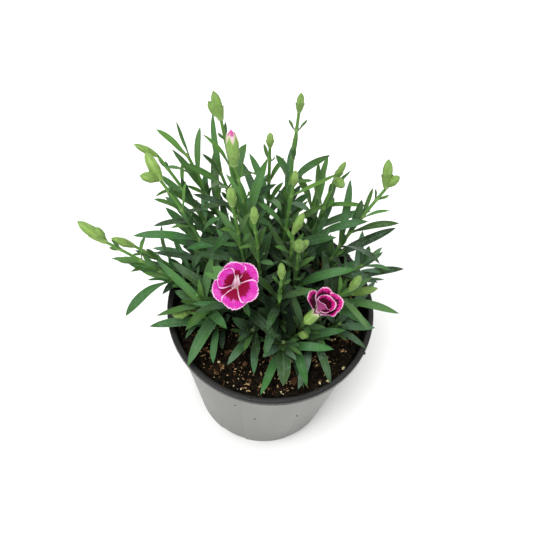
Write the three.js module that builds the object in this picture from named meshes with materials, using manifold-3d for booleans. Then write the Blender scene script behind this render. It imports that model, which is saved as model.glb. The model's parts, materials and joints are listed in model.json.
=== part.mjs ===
// A potted dianthus: a round nursery pot with a rolled lip, its soil, a tuft of leafy stems that stand in
// holes in the soil, closed buds on most stems, one open flower and one half-open flower.
// Millimetres, +Z up. The origin is the centre of the foot that the pot stands on, and -Y is the front.
import * as THREE from "three";
import { mergeVertices } from "three/addons/utils/BufferGeometryUtils.js";
import Module from "manifold-3d";

const wasm = await Module();
wasm.setup();

// ---------------------------------------------------------------- driving dimensions
const POT = {
  height: 105,
  rimRadius: 60,
  footRadius: 41,
  wall: 1.1,
  lipWidth: 3.4,
  lipDrop: 4,
  lipSkin: 1.1,
  floor: 1.2,
  sides: 32,
};
const NOTCH = { count: 6, width: 17, height: 2.8, depth: 6, firstAngle: 68 };
const SLOT = { size: [3.4, 11], radius: 37.5 }; // a drain slot: radial and sideways size, place of its centre
const SOIL = { top: 95, gap: 0.4, mound: 3, moundRadius: 20, sides: 26, rings: 5, stepRadius: 33 };
const HOLE = { radius: 1.9, sides: 5, depth: 8 };
const STEM = { radius: 1.15, tipRadius: 0.85, nodeRadius: 1.45, nodeHalf: 0.9, rootDepth: 7 };
const LEAF = { thickness: 0.6, long: 32, baseShare: 0.45, width: 1.1, widening: [0.09, 0.125], steepest: 6 };
const LIGHT = { from: [0, -0.4, 0.92], middle: 0.6, turning: 0.55, most: 50 }; // how blades turn to the light
const BUD = { sides: 8, sideRadius: 0.26 }; // a side bud's radius is a share of its length
const PETAL = { thickness: 0.6, layer: 0.75, across: 6, tooth: 0.45, rounding: 0.34 };
const PETAL_STATIONS = [0, 0.34, 0.7, 1];
const GAP = 0.4; // between a stem's end and the bud or calyx that grows on it
const FINEST = 0.05; // fused solids keep no detail finer than this
const DEG = Math.PI / 180;

// ---------------------------------------------------------------- the plant's layout
// root: where the stem leaves the soil, x and y. tip: the stem's end. bow: how much it arches outwards.
// nod: the way its end looks, if not straight on. bud: length and radius. side: a side bud's length, turn and
// tilt. aims: leaves with set tips, each [place along the stem, tip, width].
// pairs: leaf pairs from the top down, each [place along the stem, leaf length, opening angle].
const FLOWERING = [
  [0.91, 8, 28],
  [0.76, 15, 24],
  [0.62, 27, 30],
  [0.5, 34, 38],
  [0.39, 38, 46],
  [0.29, 38, 54],
  [0.2, 34, 62],
  [0.11, 26, 68],
];
const YOUNG = [
  [0.99, 24, 9],
  [0.84, 28, 26],
  [0.68, 34, 34],
  [0.53, 38, 42],
  [0.39, 38, 50],
  [0.26, 34, 58],
  [0.14, 28, 66],
];
const ROSETTE = [
  [0.98, 16, 20],
  [0.8, 27, 46],
  [0.58, 35, 62],
  [0.36, 36, 72],
];
const SHOOTS = [
  {
    name: "01",
    root: [-12, 17],
    tip: [-35.5, 43.9, 217.9],
    bow: 0.05,
    nod: [-0.32, 0.52, 0.79],
    pairs: FLOWERING,
    bud: [16, 2.9],
    side: [10, 165, 27],
    aims: [[0.76, [-45, 43, 206], 2.2]],
  },
  {
    name: "02",
    root: [-5, 9],
    tip: [-26.3, 23.6, 207.3],
    bow: 0.12,
    nod: [-0.16, 0.47, 0.87],
    pairs: FLOWERING,
    bud: [21, 3.6],
    aims: [
      [0.62, [-10, 37, 199], 5],
      [0.5, [-24, 33, 183], 5],
    ],
  },
  {
    name: "03",
    root: [-24, 20],
    tip: [-70.7, 50.6, 172.7],
    bow: 0.2,
    nod: [-0.87, 0.07, 0.48],
    pairs: FLOWERING,
    bud: [14.5, 2.1],
    aims: [
      [0.76, [-70, 32, 160], 2],
      [0.91, [-67, 48, 173], 1.7],
    ],
  },
  {
    name: "04",
    root: [-29, 12],
    tip: [-66.6, 34.8, 171.1],
    bow: 0.2,
    nod: [-0.55, 0.64, 0.55],
    pairs: FLOWERING,
    bud: [18, 3.3],
    side: [11.5, 250, 56],
    aims: [
      [0.76, [-70, 27, 165], 2.8],
      [0.91, [-60, 34, 172], 2.5],
    ],
  },
  {
    name: "05",
    root: [-27, -2],
    tip: [-95.2, 12, 139.3],
    bow: 0.12,
    nod: [-0.77, 0.2, 0.6],
    pairs: FLOWERING,
    bud: [20.5, 3.3],
    side: [10, 9, 25],
    aims: [
      [0.5, [-80, -24, 122], 6.2],
      [0.76, [-90, 6, 137], 4.5],
      [0.76, [-74, 17, 142], 2.8],
    ],
  },
  {
    name: "06",
    root: [-21, 6],
    tip: [-80.7, 17, 130],
    bow: 0.02,
    nod: [-0.86, -0.05, 0.5],
    pairs: FLOWERING,
    bud: [14.5, 2.4],
    aims: [
      [0.62, [-81, 3, 125], 3.6],
      [0.5, [-61, 12, 129], 5],
    ],
  },
  {
    name: "07",
    root: [-12, 2],
    tip: [-25.1, 4.6, 199.1],
    bow: 0.1,
    nod: [-0.15, 0.29, 0.94],
    pairs: FLOWERING,
    bud: [12.5, 2.5],
  },
  {
    name: "08",
    root: [-4, -4],
    tip: [-13.3, 1.4, 190.6],
    bow: 0.1,
    nod: [-0.09, 0.28, 0.96],
    pairs: FLOWERING,
    bud: [11, 2.2],
  },
  {
    name: "09",
    root: [2, 22],
    tip: [3.7, 51.1, 221.8],
    bow: 0.06,
    pairs: FLOWERING,
    bud: [12, 2.1],
    aims: [
      [0.62, [23, 46, 195], 4.2],
      [0.62, [-6, 42, 196], 4.5],
      [0.39, [15, 36, 173], 4.5],
    ],
  },
  { name: "10", root: [-5, 26], tip: [-9.4, 42.2, 201.8], bow: 0.06, pairs: FLOWERING, bud: [10, 2] },
  {
    name: "11",
    root: [2, 13],
    tip: [4.7, 22.5, 198.3],
    bow: 0.08,
    pairs: FLOWERING,
    bud: [10.5, 1.9],
    aims: [[0.91, [27, 26, 207], 2.2]],
  },
  {
    name: "12",
    root: [14, 20],
    tip: [26.6, 38.2, 183.6],
    bow: 0.08,
    nod: [0.36, 0.36, 0.86],
    pairs: FLOWERING,
    bud: [13, 1.9],
    side: [10, 281, 76],
    aims: [
      [0.76, [27, 35, 173], 2.8],
      [0.91, [35, 42, 189], 1.9],
      [0.29, [31, 27, 145], 5.6],
    ],
  },
  {
    name: "13",
    root: [19, 13],
    tip: [55.4, 40.9, 177.2],
    bow: 0.1,
    nod: [-0.06, 0.41, 0.91],
    pairs: FLOWERING,
    bud: [18, 3],
    side: [10, 339, 41],
    aims: [
      [0.62, [43, 35, 173], 4.5],
      [0.62, [65, 28, 164], 4.2],
      [0.76, [59, 33, 168], 2],
    ],
  },
  {
    name: "14",
    root: [8, 5],
    tip: [7.3, 4.5, 179.7],
    bow: 0.05,
    nod: [0.27, 0.29, 0.92],
    pairs: FLOWERING,
    bud: [15, 2.3],
  },
  {
    name: "15",
    root: [12, -3],
    tip: [11.3, -1.8, 173.9],
    bow: 0.05,
    nod: [-0.06, -0.23, 0.97],
    pairs: FLOWERING,
    bud: [13, 3.2],
    side: [8, 33, 42],
  },
  {
    name: "16",
    root: [4, -10],
    tip: [3.6, -15.5, 166],
    bow: 0.05,
    nod: [-0.09, 0.34, 0.94],
    pairs: FLOWERING,
    bud: [10.5, 2.1],
    aims: [[0.11, [3, -17, 107], 4.5]],
  },
  {
    name: "17",
    root: [24, -1],
    tip: [41.7, -6.1, 144.7],
    bow: 0.1,
    nod: [0.34, 0.21, 0.92],
    pairs: FLOWERING.slice(1),
    bud: [13, 2.4],
    aims: [
      [0.76, [54, -24, 135], 3.4],
      [0.11, [27, -26, 107], 3.4],
    ],
  },
  {
    name: "18",
    root: [26, 7],
    tip: [45, 6.2, 119.2],
    bow: 0.1,
    nod: [0.86, 0.06, 0.5],
    pairs: FLOWERING.slice(2),
    bud: [16, 2.3],
    aims: [
      [0.62, [72, -6, 124], 4.8],
      [0.39, [27, 11, 120], 2.8],
      [0.62, [30, 13, 132], 3.4],
    ],
  },
  {
    name: "19",
    root: [13, -17],
    tip: [17.4, -21.6, 117.3],
    bow: 0.1,
    nod: [0.42, -0.48, 0.77],
    pairs: FLOWERING.slice(4),
    bud: [10, 2.2],
    aims: [[0.11, [23, -45, 97], 4.8]],
  },
  {
    name: "20",
    root: [-24, -12],
    tip: [-45.5, -14.6, 117],
    bow: 0.1,
    nod: [-0.73, -0.5, 0.47],
    pairs: FLOWERING.slice(4),
    bud: [12, 2.8],
    aims: [[0.11, [-25, -29, 103], 3.9]],
  },
  {
    name: "21",
    root: [-13, -6],
    tip: [-20, -16, 156],
    bow: 0.06,
    nod: [0.02, -0.5, 0.87],
    pairs: FLOWERING.slice(2),
    flower: "open",
  },
  {
    name: "22",
    root: [18, -10],
    tip: [19.3, -25.1, 138.2],
    bow: 0.06,
    nod: [0.41, 0.08, 0.91],
    pairs: FLOWERING.slice(2),
    flower: "half",
  },
  {
    name: "23",
    root: [-18, 27],
    tip: [-54.5, 50, 178],
    bow: 0.06,
    pairs: YOUNG,
    aims: [
      [0.68, [-63, 53, 177], 3.9],
      [0.99, [-62, 56, 198], 2],
      [0.26, [-35, 48, 145], 4.5],
    ],
  },
  {
    name: "24",
    root: [-12, 34],
    tip: [-35.5, 46, 170],
    bow: 0.05,
    pairs: YOUNG,
    aims: [[0.99, [-42, 64, 199], 3.4]],
  },
  {
    name: "25",
    root: [14, 31],
    tip: [19, 48.8, 152],
    bow: 0.1,
    pairs: YOUNG,
    aims: [
      [0.84, [49, 41, 158], 2.8],
      [0.99, [20, 57, 173], 3.4],
    ],
  },
  {
    name: "26",
    root: [6, -23],
    tip: [9, -25, 112],
    bow: 0,
    pairs: ROSETTE,
    aims: [
      [0.8, [11, -50, 108], 7.8],
      [0.58, [-2, -35, 111], 4.5],
    ],
  },
  {
    name: "27",
    root: [-7, -17],
    tip: [-9, -20, 113],
    bow: 0,
    pairs: ROSETTE,
    aims: [
      [0.58, [-21, -44, 115], 4.8],
      [0.8, [-5, -37, 114], 4.5],
      [0.36, [0, -44, 110], 4.5],
      [0.8, [-21, -19, 123], 5.6],
    ],
  },
  {
    name: "28",
    root: [22, -20],
    tip: [27, -20, 113],
    bow: 0,
    pairs: ROSETTE,
    aims: [[0.8, [37, -46, 109], 4.5]],
  },
  {
    name: "29",
    root: [33, -7],
    tip: [40, -10, 112],
    bow: 0,
    pairs: ROSETTE,
    aims: [
      [0.8, [59, -16, 123], 4.5],
      [0.58, [56, -24, 120], 3.6],
      [0.36, [44, -16, 109], 4.5],
    ],
  },
  {
    name: "30",
    root: [-38, 19],
    tip: [-47, 24, 117],
    bow: 0,
    pairs: ROSETTE,
    aims: [[0.98, [-54, 39, 138], 4.5]],
  },
  {
    name: "31",
    root: [34, 14],
    tip: [50, 24, 124],
    bow: 0.1,
    pairs: ROSETTE,
    aims: [
      [0.98, [52, 29, 137], 3.9],
      [0.98, [60, 28, 134], 3.1],
      [0.8, [60, 15, 131], 3.1],
      [0.36, [62, 11, 131], 2.5],
    ],
  },
  {
    name: "32",
    root: [-31, -8],
    tip: [-42, -10, 129],
    bow: 0.05,
    pairs: YOUNG.slice(2),
    aims: [[0.68, [-62, -27, 132], 3.4]],
  },
  {
    name: "33",
    root: [-20, -1],
    tip: [-34, -8, 132],
    bow: 0.05,
    pairs: YOUNG.slice(2),
    aims: [[0.39, [-43, -45, 110], 6.7]],
  },
];

// ---------------------------------------------------------------- small vector helpers, on [x, y, z]
const add = (a, b) => [a[0] + b[0], a[1] + b[1], a[2] + b[2]];
const sub = (a, b) => [a[0] - b[0], a[1] - b[1], a[2] - b[2]];
const times = (a, k) => [a[0] * k, a[1] * k, a[2] * k];
const dot = (a, b) => a[0] * b[0] + a[1] * b[1] + a[2] * b[2];
const cross = (a, b) => [a[1] * b[2] - a[2] * b[1], a[2] * b[0] - a[0] * b[2], a[0] * b[1] - a[1] * b[0]];
const unit = (a) => times(a, 1 / Math.sqrt(dot(a, a)));
const blend = (a, ka, b, kb) => add(times(a, ka), times(b, kb));

// A seeded draw from 0 to 1 that gives the same row of numbers on every run.
function seeded(seed) {
  let state = seed;
  return () => {
    state = (state * 16807) % 2147483647;
    return state / 2147483647;
  };
}

// ---------------------------------------------------------------- solids
// A skin under construction. A ring is a list of points, counter-clockwise about the way the skin advances.
function makeSkin() {
  const points = [];
  const faces = [];
  return {
    ring: (list) => list.map((point) => points.push(point) - 1),
    // Joins two rings of equal length, or a ring and a single point. Facets in open are left out, and those
    // in mirrored have their diagonal the other way round.
    join(low, high, { open = [], mirrored = [] } = {}) {
      const sides = Math.max(low.length, high.length);
      for (let j = 0; j < sides; j++) {
        const k = (j + 1) % sides;
        if (open.includes(j)) continue;
        if (high.length === 1) faces.push(low[j], low[k], high[0]);
        else if (low.length === 1) faces.push(low[0], high[k], high[j]);
        else if (mirrored.includes(j)) faces.push(low[j], low[k], high[j], low[k], high[k], high[j]);
        else faces.push(low[j], low[k], high[k], low[j], high[k], high[j]);
      }
    },
    close(ring, isLast) {
      for (let j = 1; j + 1 < ring.length; j++)
        faces.push(ring[0], ...(isLast ? [ring[j], ring[j + 1]] : [ring[j + 1], ring[j]]));
    },
    geometry() {
      const made = new THREE.BufferGeometry();
      made.setAttribute("position", new THREE.BufferAttribute(new Float32Array(points.flat()), 3));
      made.setIndex(faces);
      return made;
    },
  };
}

// A closed skin through rings of points. A ring of one point closes that end to a tip.
function loft(rings) {
  const skin = makeSkin();
  const placed = rings.map(skin.ring);
  for (let i = 0; i + 1 < placed.length; i++) skin.join(placed[i], placed[i + 1]);
  skin.close(placed[0], false);
  skin.close(placed.at(-1), true);
  return skin.geometry();
}

function solid(geometry) {
  const bare = geometry.clone();
  bare.deleteAttribute("normal");
  bare.deleteAttribute("uv");
  const merged = mergeVertices(bare, 1e-4);
  const vertProperties = new Float32Array(merged.attributes.position.array);
  const triVerts = new Uint32Array(merged.index.array);
  return new wasm.Manifold(new wasm.Mesh({ numProp: 3, vertProperties, triVerts }));
}

const fuse = (solids) => solids.reduce((whole, next) => whole.add(next)).simplify(FINEST);

function geometryOf(body) {
  const made = body.getMesh();
  const geometry = new THREE.BufferGeometry();
  geometry.setAttribute("position", new THREE.BufferAttribute(new Float32Array(made.vertProperties), 3));
  geometry.setIndex(new THREE.BufferAttribute(new Uint32Array(made.triVerts), 1));
  return geometry;
}

function meshOf(name, geometry, material, origin = [0, 0, 0]) {
  geometry.translate(...times(origin, -1));
  geometry.computeVertexNormals();
  const mesh = new THREE.Mesh(geometry, material);
  mesh.name = name;
  return mesh;
}

// A ring of points about a centre: across and up are unit vectors, counter-clockwise from the first.
const ringAbout = (centre, across, up, radius, sides, start = 0) =>
  Array.from({ length: sides }, (_, j) => {
    const turn = start + (2 * Math.PI * j) / sides;
    return add(centre, blend(across, radius * Math.cos(turn), up, radius * Math.sin(turn)));
  });

// ---------------------------------------------------------------- pot and soil
// Turns a profile of [radius, height] points about the pot's axis.
const turned = (profile) =>
  solid(
    new THREE.LatheGeometry(
      profile.map(([r, z]) => new THREE.Vector2(r, z)),
      POT.sides,
    ).rotateX(Math.PI / 2),
  );

// The wall runs straight from the foot to the lip, which turns outwards and down. Round the foot six notches
// let water out through a slot in each one's roof.
function potBody() {
  const { height, rimRadius, footRadius, wall, lipWidth, lipDrop, lipSkin, floor } = POT;
  const inside = rimRadius - lipWidth;
  const underLip = height - lipSkin - 0.6;
  const outer = turned([
    [0, 0],
    [footRadius, 0],
    [inside + wall, underLip],
    [rimRadius - lipSkin, underLip],
    [rimRadius - lipSkin, height - lipDrop],
    [rimRadius, height - lipDrop],
    [rimRadius, height - 0.9],
    [rimRadius - 0.9, height],
    [0, height],
  ]);
  let cavity = turned([
    [0, floor],
    [footRadius - wall, floor],
    [inside, height - 0.6],
    [inside + 0.6, height],
    [inside + 0.6, height + 1],
    [0, height + 1],
  ]);
  const cutters = [];
  for (let i = 0; i < NOTCH.count; i++) {
    const turn = (NOTCH.firstAngle + (360 / NOTCH.count) * i) * DEG;
    const box = (radial, across, low, high, centre) => {
      const made = new THREE.BoxGeometry(radial, across, high - low);
      return solid(made.translate(centre, 0, (low + high) / 2).rotateZ(turn));
    };
    const { width, height: tall, depth } = NOTCH;
    const edge = footRadius - depth / 2 + 1;
    cavity = cavity.subtract(box(depth + 2 * wall + 2, width + 2 * wall, 0, tall + floor, edge));
    cutters.push(box(depth + 2, width, -1, tall, edge));
    cutters.push(box(...SLOT.size, tall - 1, tall + floor + 1, SLOT.radius));
  }
  return cutters.reduce((pot, cutter) => pot.subtract(cutter), outer.subtract(cavity));
}

// The soil's top: a low mound round the crown, roughened by a few crossed waves.
function soilHeight(x, y) {
  const r2 = x * x + y * y;
  const mound = SOIL.mound * Math.exp(-r2 / (SOIL.moundRadius * SOIL.moundRadius));
  const broad = 0.7 * Math.sin(0.29 * x + 1.3) * Math.cos(0.33 * y);
  const narrow = 0.5 * Math.sin(0.71 * x - 0.52 * y + 0.8);
  return SOIL.top + mound + broad + narrow;
}

// The soil fills the pot to the notches' roofs and, inside them, to the floor. Each stem has its own hole.
function soilBody() {
  const { gap, sides, rings, top, stepRadius } = SOIL;
  const low = POT.floor + gap;
  const step = NOTCH.height + POT.floor + gap;
  const wallAt = (z) => {
    const [foot, lip] = [POT.footRadius - POT.wall, POT.rimRadius - POT.lipWidth];
    const share = (z - POT.floor) / (POT.height - 0.6 - POT.floor);
    return (foot + (lip - foot) * share) * Math.cos(Math.PI / POT.sides) - gap;
  };
  const ringAt = (radius, height) =>
    ringAbout([0, 0, 0], [1, 0, 0], [0, 1, 0], radius, sides).map(([x, y]) => [x, y, height(x, y)]);
  const edge = wallAt(top - 2);
  const layers = [
    ringAt(stepRadius, () => low),
    ringAt(stepRadius, () => step),
    ringAt(wallAt(step), () => step),
  ];
  for (let i = 0; i < rings; i++) layers.push(ringAt(edge * (1 - i / rings), soilHeight));
  layers.push([[0, 0, soilHeight(0, 0)]]);
  const holes = SHOOTS.map(({ root: [x, y] }) => {
    const plug = new THREE.CylinderGeometry(HOLE.radius, HOLE.radius, 2 * HOLE.depth, HOLE.sides);
    return solid(plug.rotateX(Math.PI / 2).translate(x, y, soilHeight(x, y)));
  });
  return holes.reduce((soil, hole) => soil.subtract(hole), solid(loft(layers)));
}

// ---------------------------------------------------------------- stems
// A stem goes straight up out of the soil, then follows one quadratic curve to its tip. It is four-sided,
// and turned so that its facets face the way its leaves grow.
function stemOf({ root, tip, bow, nod }) {
  const [x, y] = root;
  const ground = soilHeight(x, y);
  const start = [x, y, ground + 1];
  const reach = sub(tip, start);
  const middle = add(start, [reach[0] * (0.5 - bow), reach[1] * (0.5 - bow), reach[2] * (0.5 + 0.6 * bow)]);
  const at = (s) => {
    const rest = 1 - s;
    return add(blend(start, rest * rest, middle, 2 * rest * s), times(tip, s * s));
  };
  const along = (s) => unit(blend(sub(middle, start), 1 - s, sub(tip, middle), s));
  const foot = [x, y, ground - STEM.rootDepth];
  return { at, along, end: nod ? unit(nod) : along(1), foot, length: Math.sqrt(dot(reach, reach)) };
}

// Two directions across a stem, each square to it and to the other.
function acrossStem(along) {
  const one = unit(cross([1, 0, 0], along));
  return [one, cross(along, one)];
}

// ---------------------------------------------------------------- leaves
// A leaf's midrib is an arc that leaves its stem at an angle and bends outwards. Its blade is a strap that
// widens out of the stem, keeps its width and is drawn out to a point.
const leafWidth = (t) => Math.min(1, LEAF.baseShare + 1.6 * t) * (1 - t ** 6);
const LONG_STATIONS = [0.2, 0.5, 0.8];
const SHORT_STATIONS = [0.28, 0.72];

function leafStation(leaf, t) {
  const turn = leaf.open + leaf.curl * t;
  const swing = leaf.length / leaf.curl;
  const out = swing * (Math.cos(leaf.open) - Math.cos(turn));
  const up = swing * (Math.sin(turn) - Math.sin(leaf.open));
  const at = add(leaf.base, blend(leaf.along, up, leaf.outwards, out));
  const flatNormal = blend(leaf.along, Math.sin(turn), leaf.outwards, -Math.cos(turn));
  const flatSide = cross(leaf.along, leaf.outwards);
  const roll = leaf.twist * t;
  const side = blend(flatSide, Math.cos(roll), flatNormal, Math.sin(roll));
  const normal = blend(flatNormal, Math.cos(roll), flatSide, -Math.sin(roll));
  return { at, side, normal, half: (leaf.width / 2) * leafWidth(t) };
}

// Grows a leaf out of a facet of the stem: lower left, lower right, upper right, upper left.
function growBlade(skin, facet, leaf) {
  let last = facet;
  for (const t of leaf.length > LEAF.long ? LONG_STATIONS : SHORT_STATIONS) {
    const { at, side, normal, half } = leafStation(leaf, t);
    const [left, right] = [add(at, times(side, -half)), add(at, times(side, half))];
    const under = times(normal, -LEAF.thickness);
    const ring = skin.ring([add(left, under), add(right, under), right, left]);
    skin.join(last, ring, { mirrored: [2] });
    last = ring;
  }
  const { at, normal } = leafStation(leaf, 1);
  skin.join(last, skin.ring([add(at, times(normal, -LEAF.thickness / 2))]));
}

// A stem with all its leaves as one skin. At each node two rings stand close together, and the facets between
// them that carry a leaf run on into its blade.
function leafyStem(stem, shoot, turn, leaves) {
  const skin = makeSkin();
  const ringAt = (centre, along, radius) => {
    const [one, two] = acrossStem(along);
    return skin.ring(ringAbout(centre, one, two, radius, 4, turn - Math.PI / 4));
  };
  const foot = ringAt(stem.foot, [0, 0, 1], STEM.radius);
  skin.close(foot, false);
  let last = ringAt(stem.at(0), [0, 0, 1], STEM.radius);
  skin.join(foot, last);
  shoot.pairs.toReversed().forEach(([place]) => {
    const here = leaves.filter((leaf) => leaf.place === place);
    const step = STEM.nodeHalf / stem.length;
    const low = ringAt(stem.at(place - step), stem.along(place), STEM.nodeRadius);
    const high = ringAt(stem.at(place + step), stem.along(place), STEM.nodeRadius);
    skin.join(last, low);
    skin.join(low, high, { open: here.map((leaf) => leaf.facet) });
    for (const leaf of here) {
      const [j, k] = [leaf.facet, (leaf.facet + 1) % 4];
      growBlade(skin, [low[j], low[k], high[k], high[j]], leaf);
    }
    last = high;
  });
  const tip = ringAt(stem.at(1), stem.end, STEM.tipRadius);
  skin.join(last, tip);
  skin.close(tip, true);
  return skin.geometry();
}

// ---------------------------------------------------------------- room between the shoots
// Points on stems, buds, flowers and leaves, each with the room that it needs, sorted into cubes so that a
// new leaf is compared only with what is near it. A leaf minds its own shoot only from ownFrom on.
const ROOM = {
  cell: 6,
  step: 0.9,
  stem: 1.7,
  leaf: 0.8,
  ownStem: 1.9,
  ownLeaf: 1.1,
  ownFrom: 0.2,
  soil: 1.2,
  rim: 1.5,
};

function makeRoom() {
  const cubes = new Map();
  const cube = (v) => Math.floor(v / ROOM.cell);
  const key = (i, j, k) => (i * 1000 + j) * 1000 + k;
  return {
    put(point, radius, owner, ownRadius) {
      const at = key(...point.map(cube));
      if (!cubes.has(at)) cubes.set(at, []);
      cubes.get(at).push([point, radius, owner, ownRadius]);
    },
    isFree(point, owner, minding) {
      const [i, j, k] = point.map(cube);
      for (let a = i - 1; a <= i + 1; a++)
        for (let b = j - 1; b <= j + 1; b++)
          for (let c = k - 1; c <= k + 1; c++)
            for (const [other, radius, otherOwner, ownRadius] of cubes.get(key(a, b, c)) ?? []) {
              if (otherOwner === owner && !minding) continue;
              const need = otherOwner === owner ? ownRadius : radius + ROOM.leaf;
              const d = sub(point, other);
              if (dot(d, d) < need * need) return false;
            }
      return true;
    },
  };
}

const leafSamples = (leaf) => {
  const samples = [];
  const count = Math.ceil(leaf.length / ROOM.step);
  for (let i = 1; i <= count; i++) {
    const t = i / count;
    const { at, side, normal, half } = leafStation(leaf, t);
    const middle = add(at, times(normal, -LEAF.thickness / 2));
    for (const share of [-1, -0.5, 0, 0.5, 1]) samples.push([add(middle, times(side, half * share)), t]);
  }
  return samples;
};

function clearOfPot([x, y, z]) {
  const r = Math.sqrt(x * x + y * y);
  if (r > POT.rimRadius - POT.lipWidth - ROOM.rim) return z > POT.height + ROOM.rim;
  return z > soilHeight(x, y) + ROOM.soil;
}

const fits = (leaf, room, owner) =>
  leafSamples(leaf).every(([point, t]) => clearOfPot(point) && room.isFree(point, owner, t > ROOM.ownFrom));

// A leaf that would meet something is turned, lifted or shortened, and left out where nothing helps.
const TRIES = [
  [0, 0, 1],
  [14, 0, 1],
  [-14, 0, 1],
  [0, -12, 1],
  [26, -5, 1],
  [-26, -5, 1],
  [12, -20, 0.95],
  [-12, -20, 0.95],
  [0, 12, 0.9],
  [38, 0, 0.85],
  [-38, 0, 0.85],
  [0, -28, 0.8],
  [20, -10, 0.7],
  [-20, -10, 0.7],
  [0, 0, 0.55],
];

// The twist that turns a blade's nearer broad side to the light by its middle.
function twistToLight(leaf) {
  const turn = leaf.open + leaf.curl * LIGHT.middle;
  const light = unit(LIGHT.from);
  const face = dot(blend(leaf.along, Math.sin(turn), leaf.outwards, -Math.cos(turn)), light);
  const side = dot(cross(leaf.along, leaf.outwards), light);
  const roll = Math.atan2(-side * Math.sign(face), Math.abs(face));
  const most = LIGHT.most * DEG;
  return Math.max(-most, Math.min(most, roll)) / LIGHT.middle;
}

function placeLeaf(plan, stem, stemTurn, room, owner) {
  const along = stem.along(plan.place);
  const [one, two] = acrossStem(along);
  const facing = stemTurn + (plan.facet * Math.PI) / 2;
  const towards = (angle) => blend(one, Math.cos(angle), two, Math.sin(angle));
  const base = add(stem.at(plan.place), times(towards(facing), STEM.nodeRadius * Math.SQRT1_2));
  for (const [turn, lift, share] of TRIES) {
    const leaf = { ...plan, base, along, length: plan.length * share };
    leaf.outwards = towards(facing + plan.swerve + turn * DEG);
    leaf.open = Math.max(LEAF.steepest * DEG, plan.open + lift * DEG);
    leaf.twist = plan.twist + plan.turning * twistToLight(leaf);
    if (fits(leaf, room, owner)) return leaf;
  }
  return null;
}

// Gives a planned leaf the width, length, opening, curl and swerve that take its tip to a target.
function aimAt(plan, [, target, width], stem, stemTurn) {
  const along = stem.along(plan.place);
  const [one, two] = acrossStem(along);
  const facing = stemTurn + (plan.facet * Math.PI) / 2;
  const facet = blend(one, Math.cos(facing), two, Math.sin(facing));
  const way = sub(target, add(stem.at(plan.place), times(facet, STEM.nodeRadius * Math.SQRT1_2)));
  const up = dot(way, along);
  const [x, y] = [dot(way, one), dot(way, two)];
  const swerve = Math.atan2(y, x) - facing;
  const leaning = Math.atan2(Math.hypot(x, y), up);
  const curl = Math.max(4 * DEG, Math.min(plan.curl, 2 * leaning - 2 * LEAF.steepest * DEG));
  return {
    ...plan,
    width,
    curl,
    aimed: true,
    twist: 0,
    turning: 1,
    swerve: Math.atan2(Math.sin(swerve), Math.cos(swerve)),
    open: leaning - curl / 2,
    length: (Math.sqrt(dot(way, way)) * (curl / 2)) / Math.sin(curl / 2),
  };
}

// The turn of a stem that makes its first aimed pair face its target.
function turnTowards(stem, shoot, [place, target]) {
  const [one, two] = acrossStem(stem.along(place));
  const way = sub(target, stem.at(place));
  const level = shoot.pairs.findIndex((pair) => pair[0] === place);
  return Math.atan2(dot(way, two), dot(way, one)) - (level * Math.PI) / 2;
}

// Opposite leaves stand in pairs, each pair a quarter turn from the last. Aimed leaves grow first, then the
// others from the top of the plant down.
function growLeaves(stems, heads) {
  const random = seeded(20240518);
  const between = (low, high) => low + (high - low) * random();
  const room = makeRoom();
  stems.forEach((stem, i) => {
    const count = Math.ceil(stem.length);
    for (let k = 0; k <= count; k++) room.put(stem.at(k / count), ROOM.stem, i, ROOM.ownStem);
    for (const [point, radius] of heads[i]) room.put(point, radius, -1 - i, radius);
  });
  const turns = SHOOTS.map((shoot, i) => {
    const drawn = between(0, Math.PI / 2);
    return shoot.aims ? turnTowards(stems[i], shoot, shoot.aims[0]) : drawn;
  });
  const plans = SHOOTS.map((shoot, i) =>
    shoot.pairs.flatMap(([place, length, open], level) =>
      [0, 2].map((half) => {
        const plan = {
          place,
          facet: (level + half) % 4,
          swerve: between(-12, 12) * DEG,
          open: (open + between(-8, 8)) * DEG,
          curl: (length > 12 ? between(10, 46) : -8) * DEG,
          twist: between(-24, 24) * DEG,
          turning: LIGHT.turning,
          length: length * between(0.85, 1.12),
          width: LEAF.width + length * between(...LEAF.widening),
        };
        const aims = (shoot.aims ?? []).filter((aim) => aim[0] === place);
        const aimed = aims.map((aim) => aimAt(plan, aim, stems[i], turns[i]));
        return aimed.find(({ swerve }) => Math.abs(swerve) < Math.PI / 2) ?? plan;
      }),
    ),
  );
  const leaves = SHOOTS.map(() => []);
  const grow = (i, plan) => {
    const leaf = placeLeaf(plan, stems[i], turns[i], room, i);
    if (!leaf) return;
    leaves[i].push(leaf);
    for (const [point] of leafSamples(leaf)) room.put(point, ROOM.leaf, i, ROOM.ownLeaf);
  };
  plans.forEach((own, i) => own.filter((plan) => plan.aimed).forEach((plan) => grow(i, plan)));
  const most = Math.max(...plans.map((own) => own.length));
  for (let k = 0; k < most; k++)
    plans.forEach((own, i) => {
      if (own[k] && !own[k].aimed) grow(i, own[k]);
    });
  return { turns, leaves };
}

// ---------------------------------------------------------------- buds
// A frame at a stem's end: z runs on along the stem, x and y across it.
function headFrame(stem) {
  const z = stem.end;
  const x = unit(cross([0, 1, 0], z));
  return { origin: add(stem.at(1), times(z, GAP)), x, y: cross(z, x), z };
}

const inFrame = (f, x, y, z) => add(add(f.origin, times(f.x, x)), add(times(f.y, y), times(f.z, z)));

// A closed bud: share of the length against share of the radius. The lower half is sheathed by two scales,
// whose tips stand out from the third ring.
const BUD_PROFILE = [
  [0, 0.42],
  [0.16, 0.68],
  [0.4, 0.94],
  [0.62, 1],
  [0.85, 0.66],
];
const SCALE_TIP = { ring: 2, corners: [0, 4], at: 0.47, wide: 1.1 };

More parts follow.
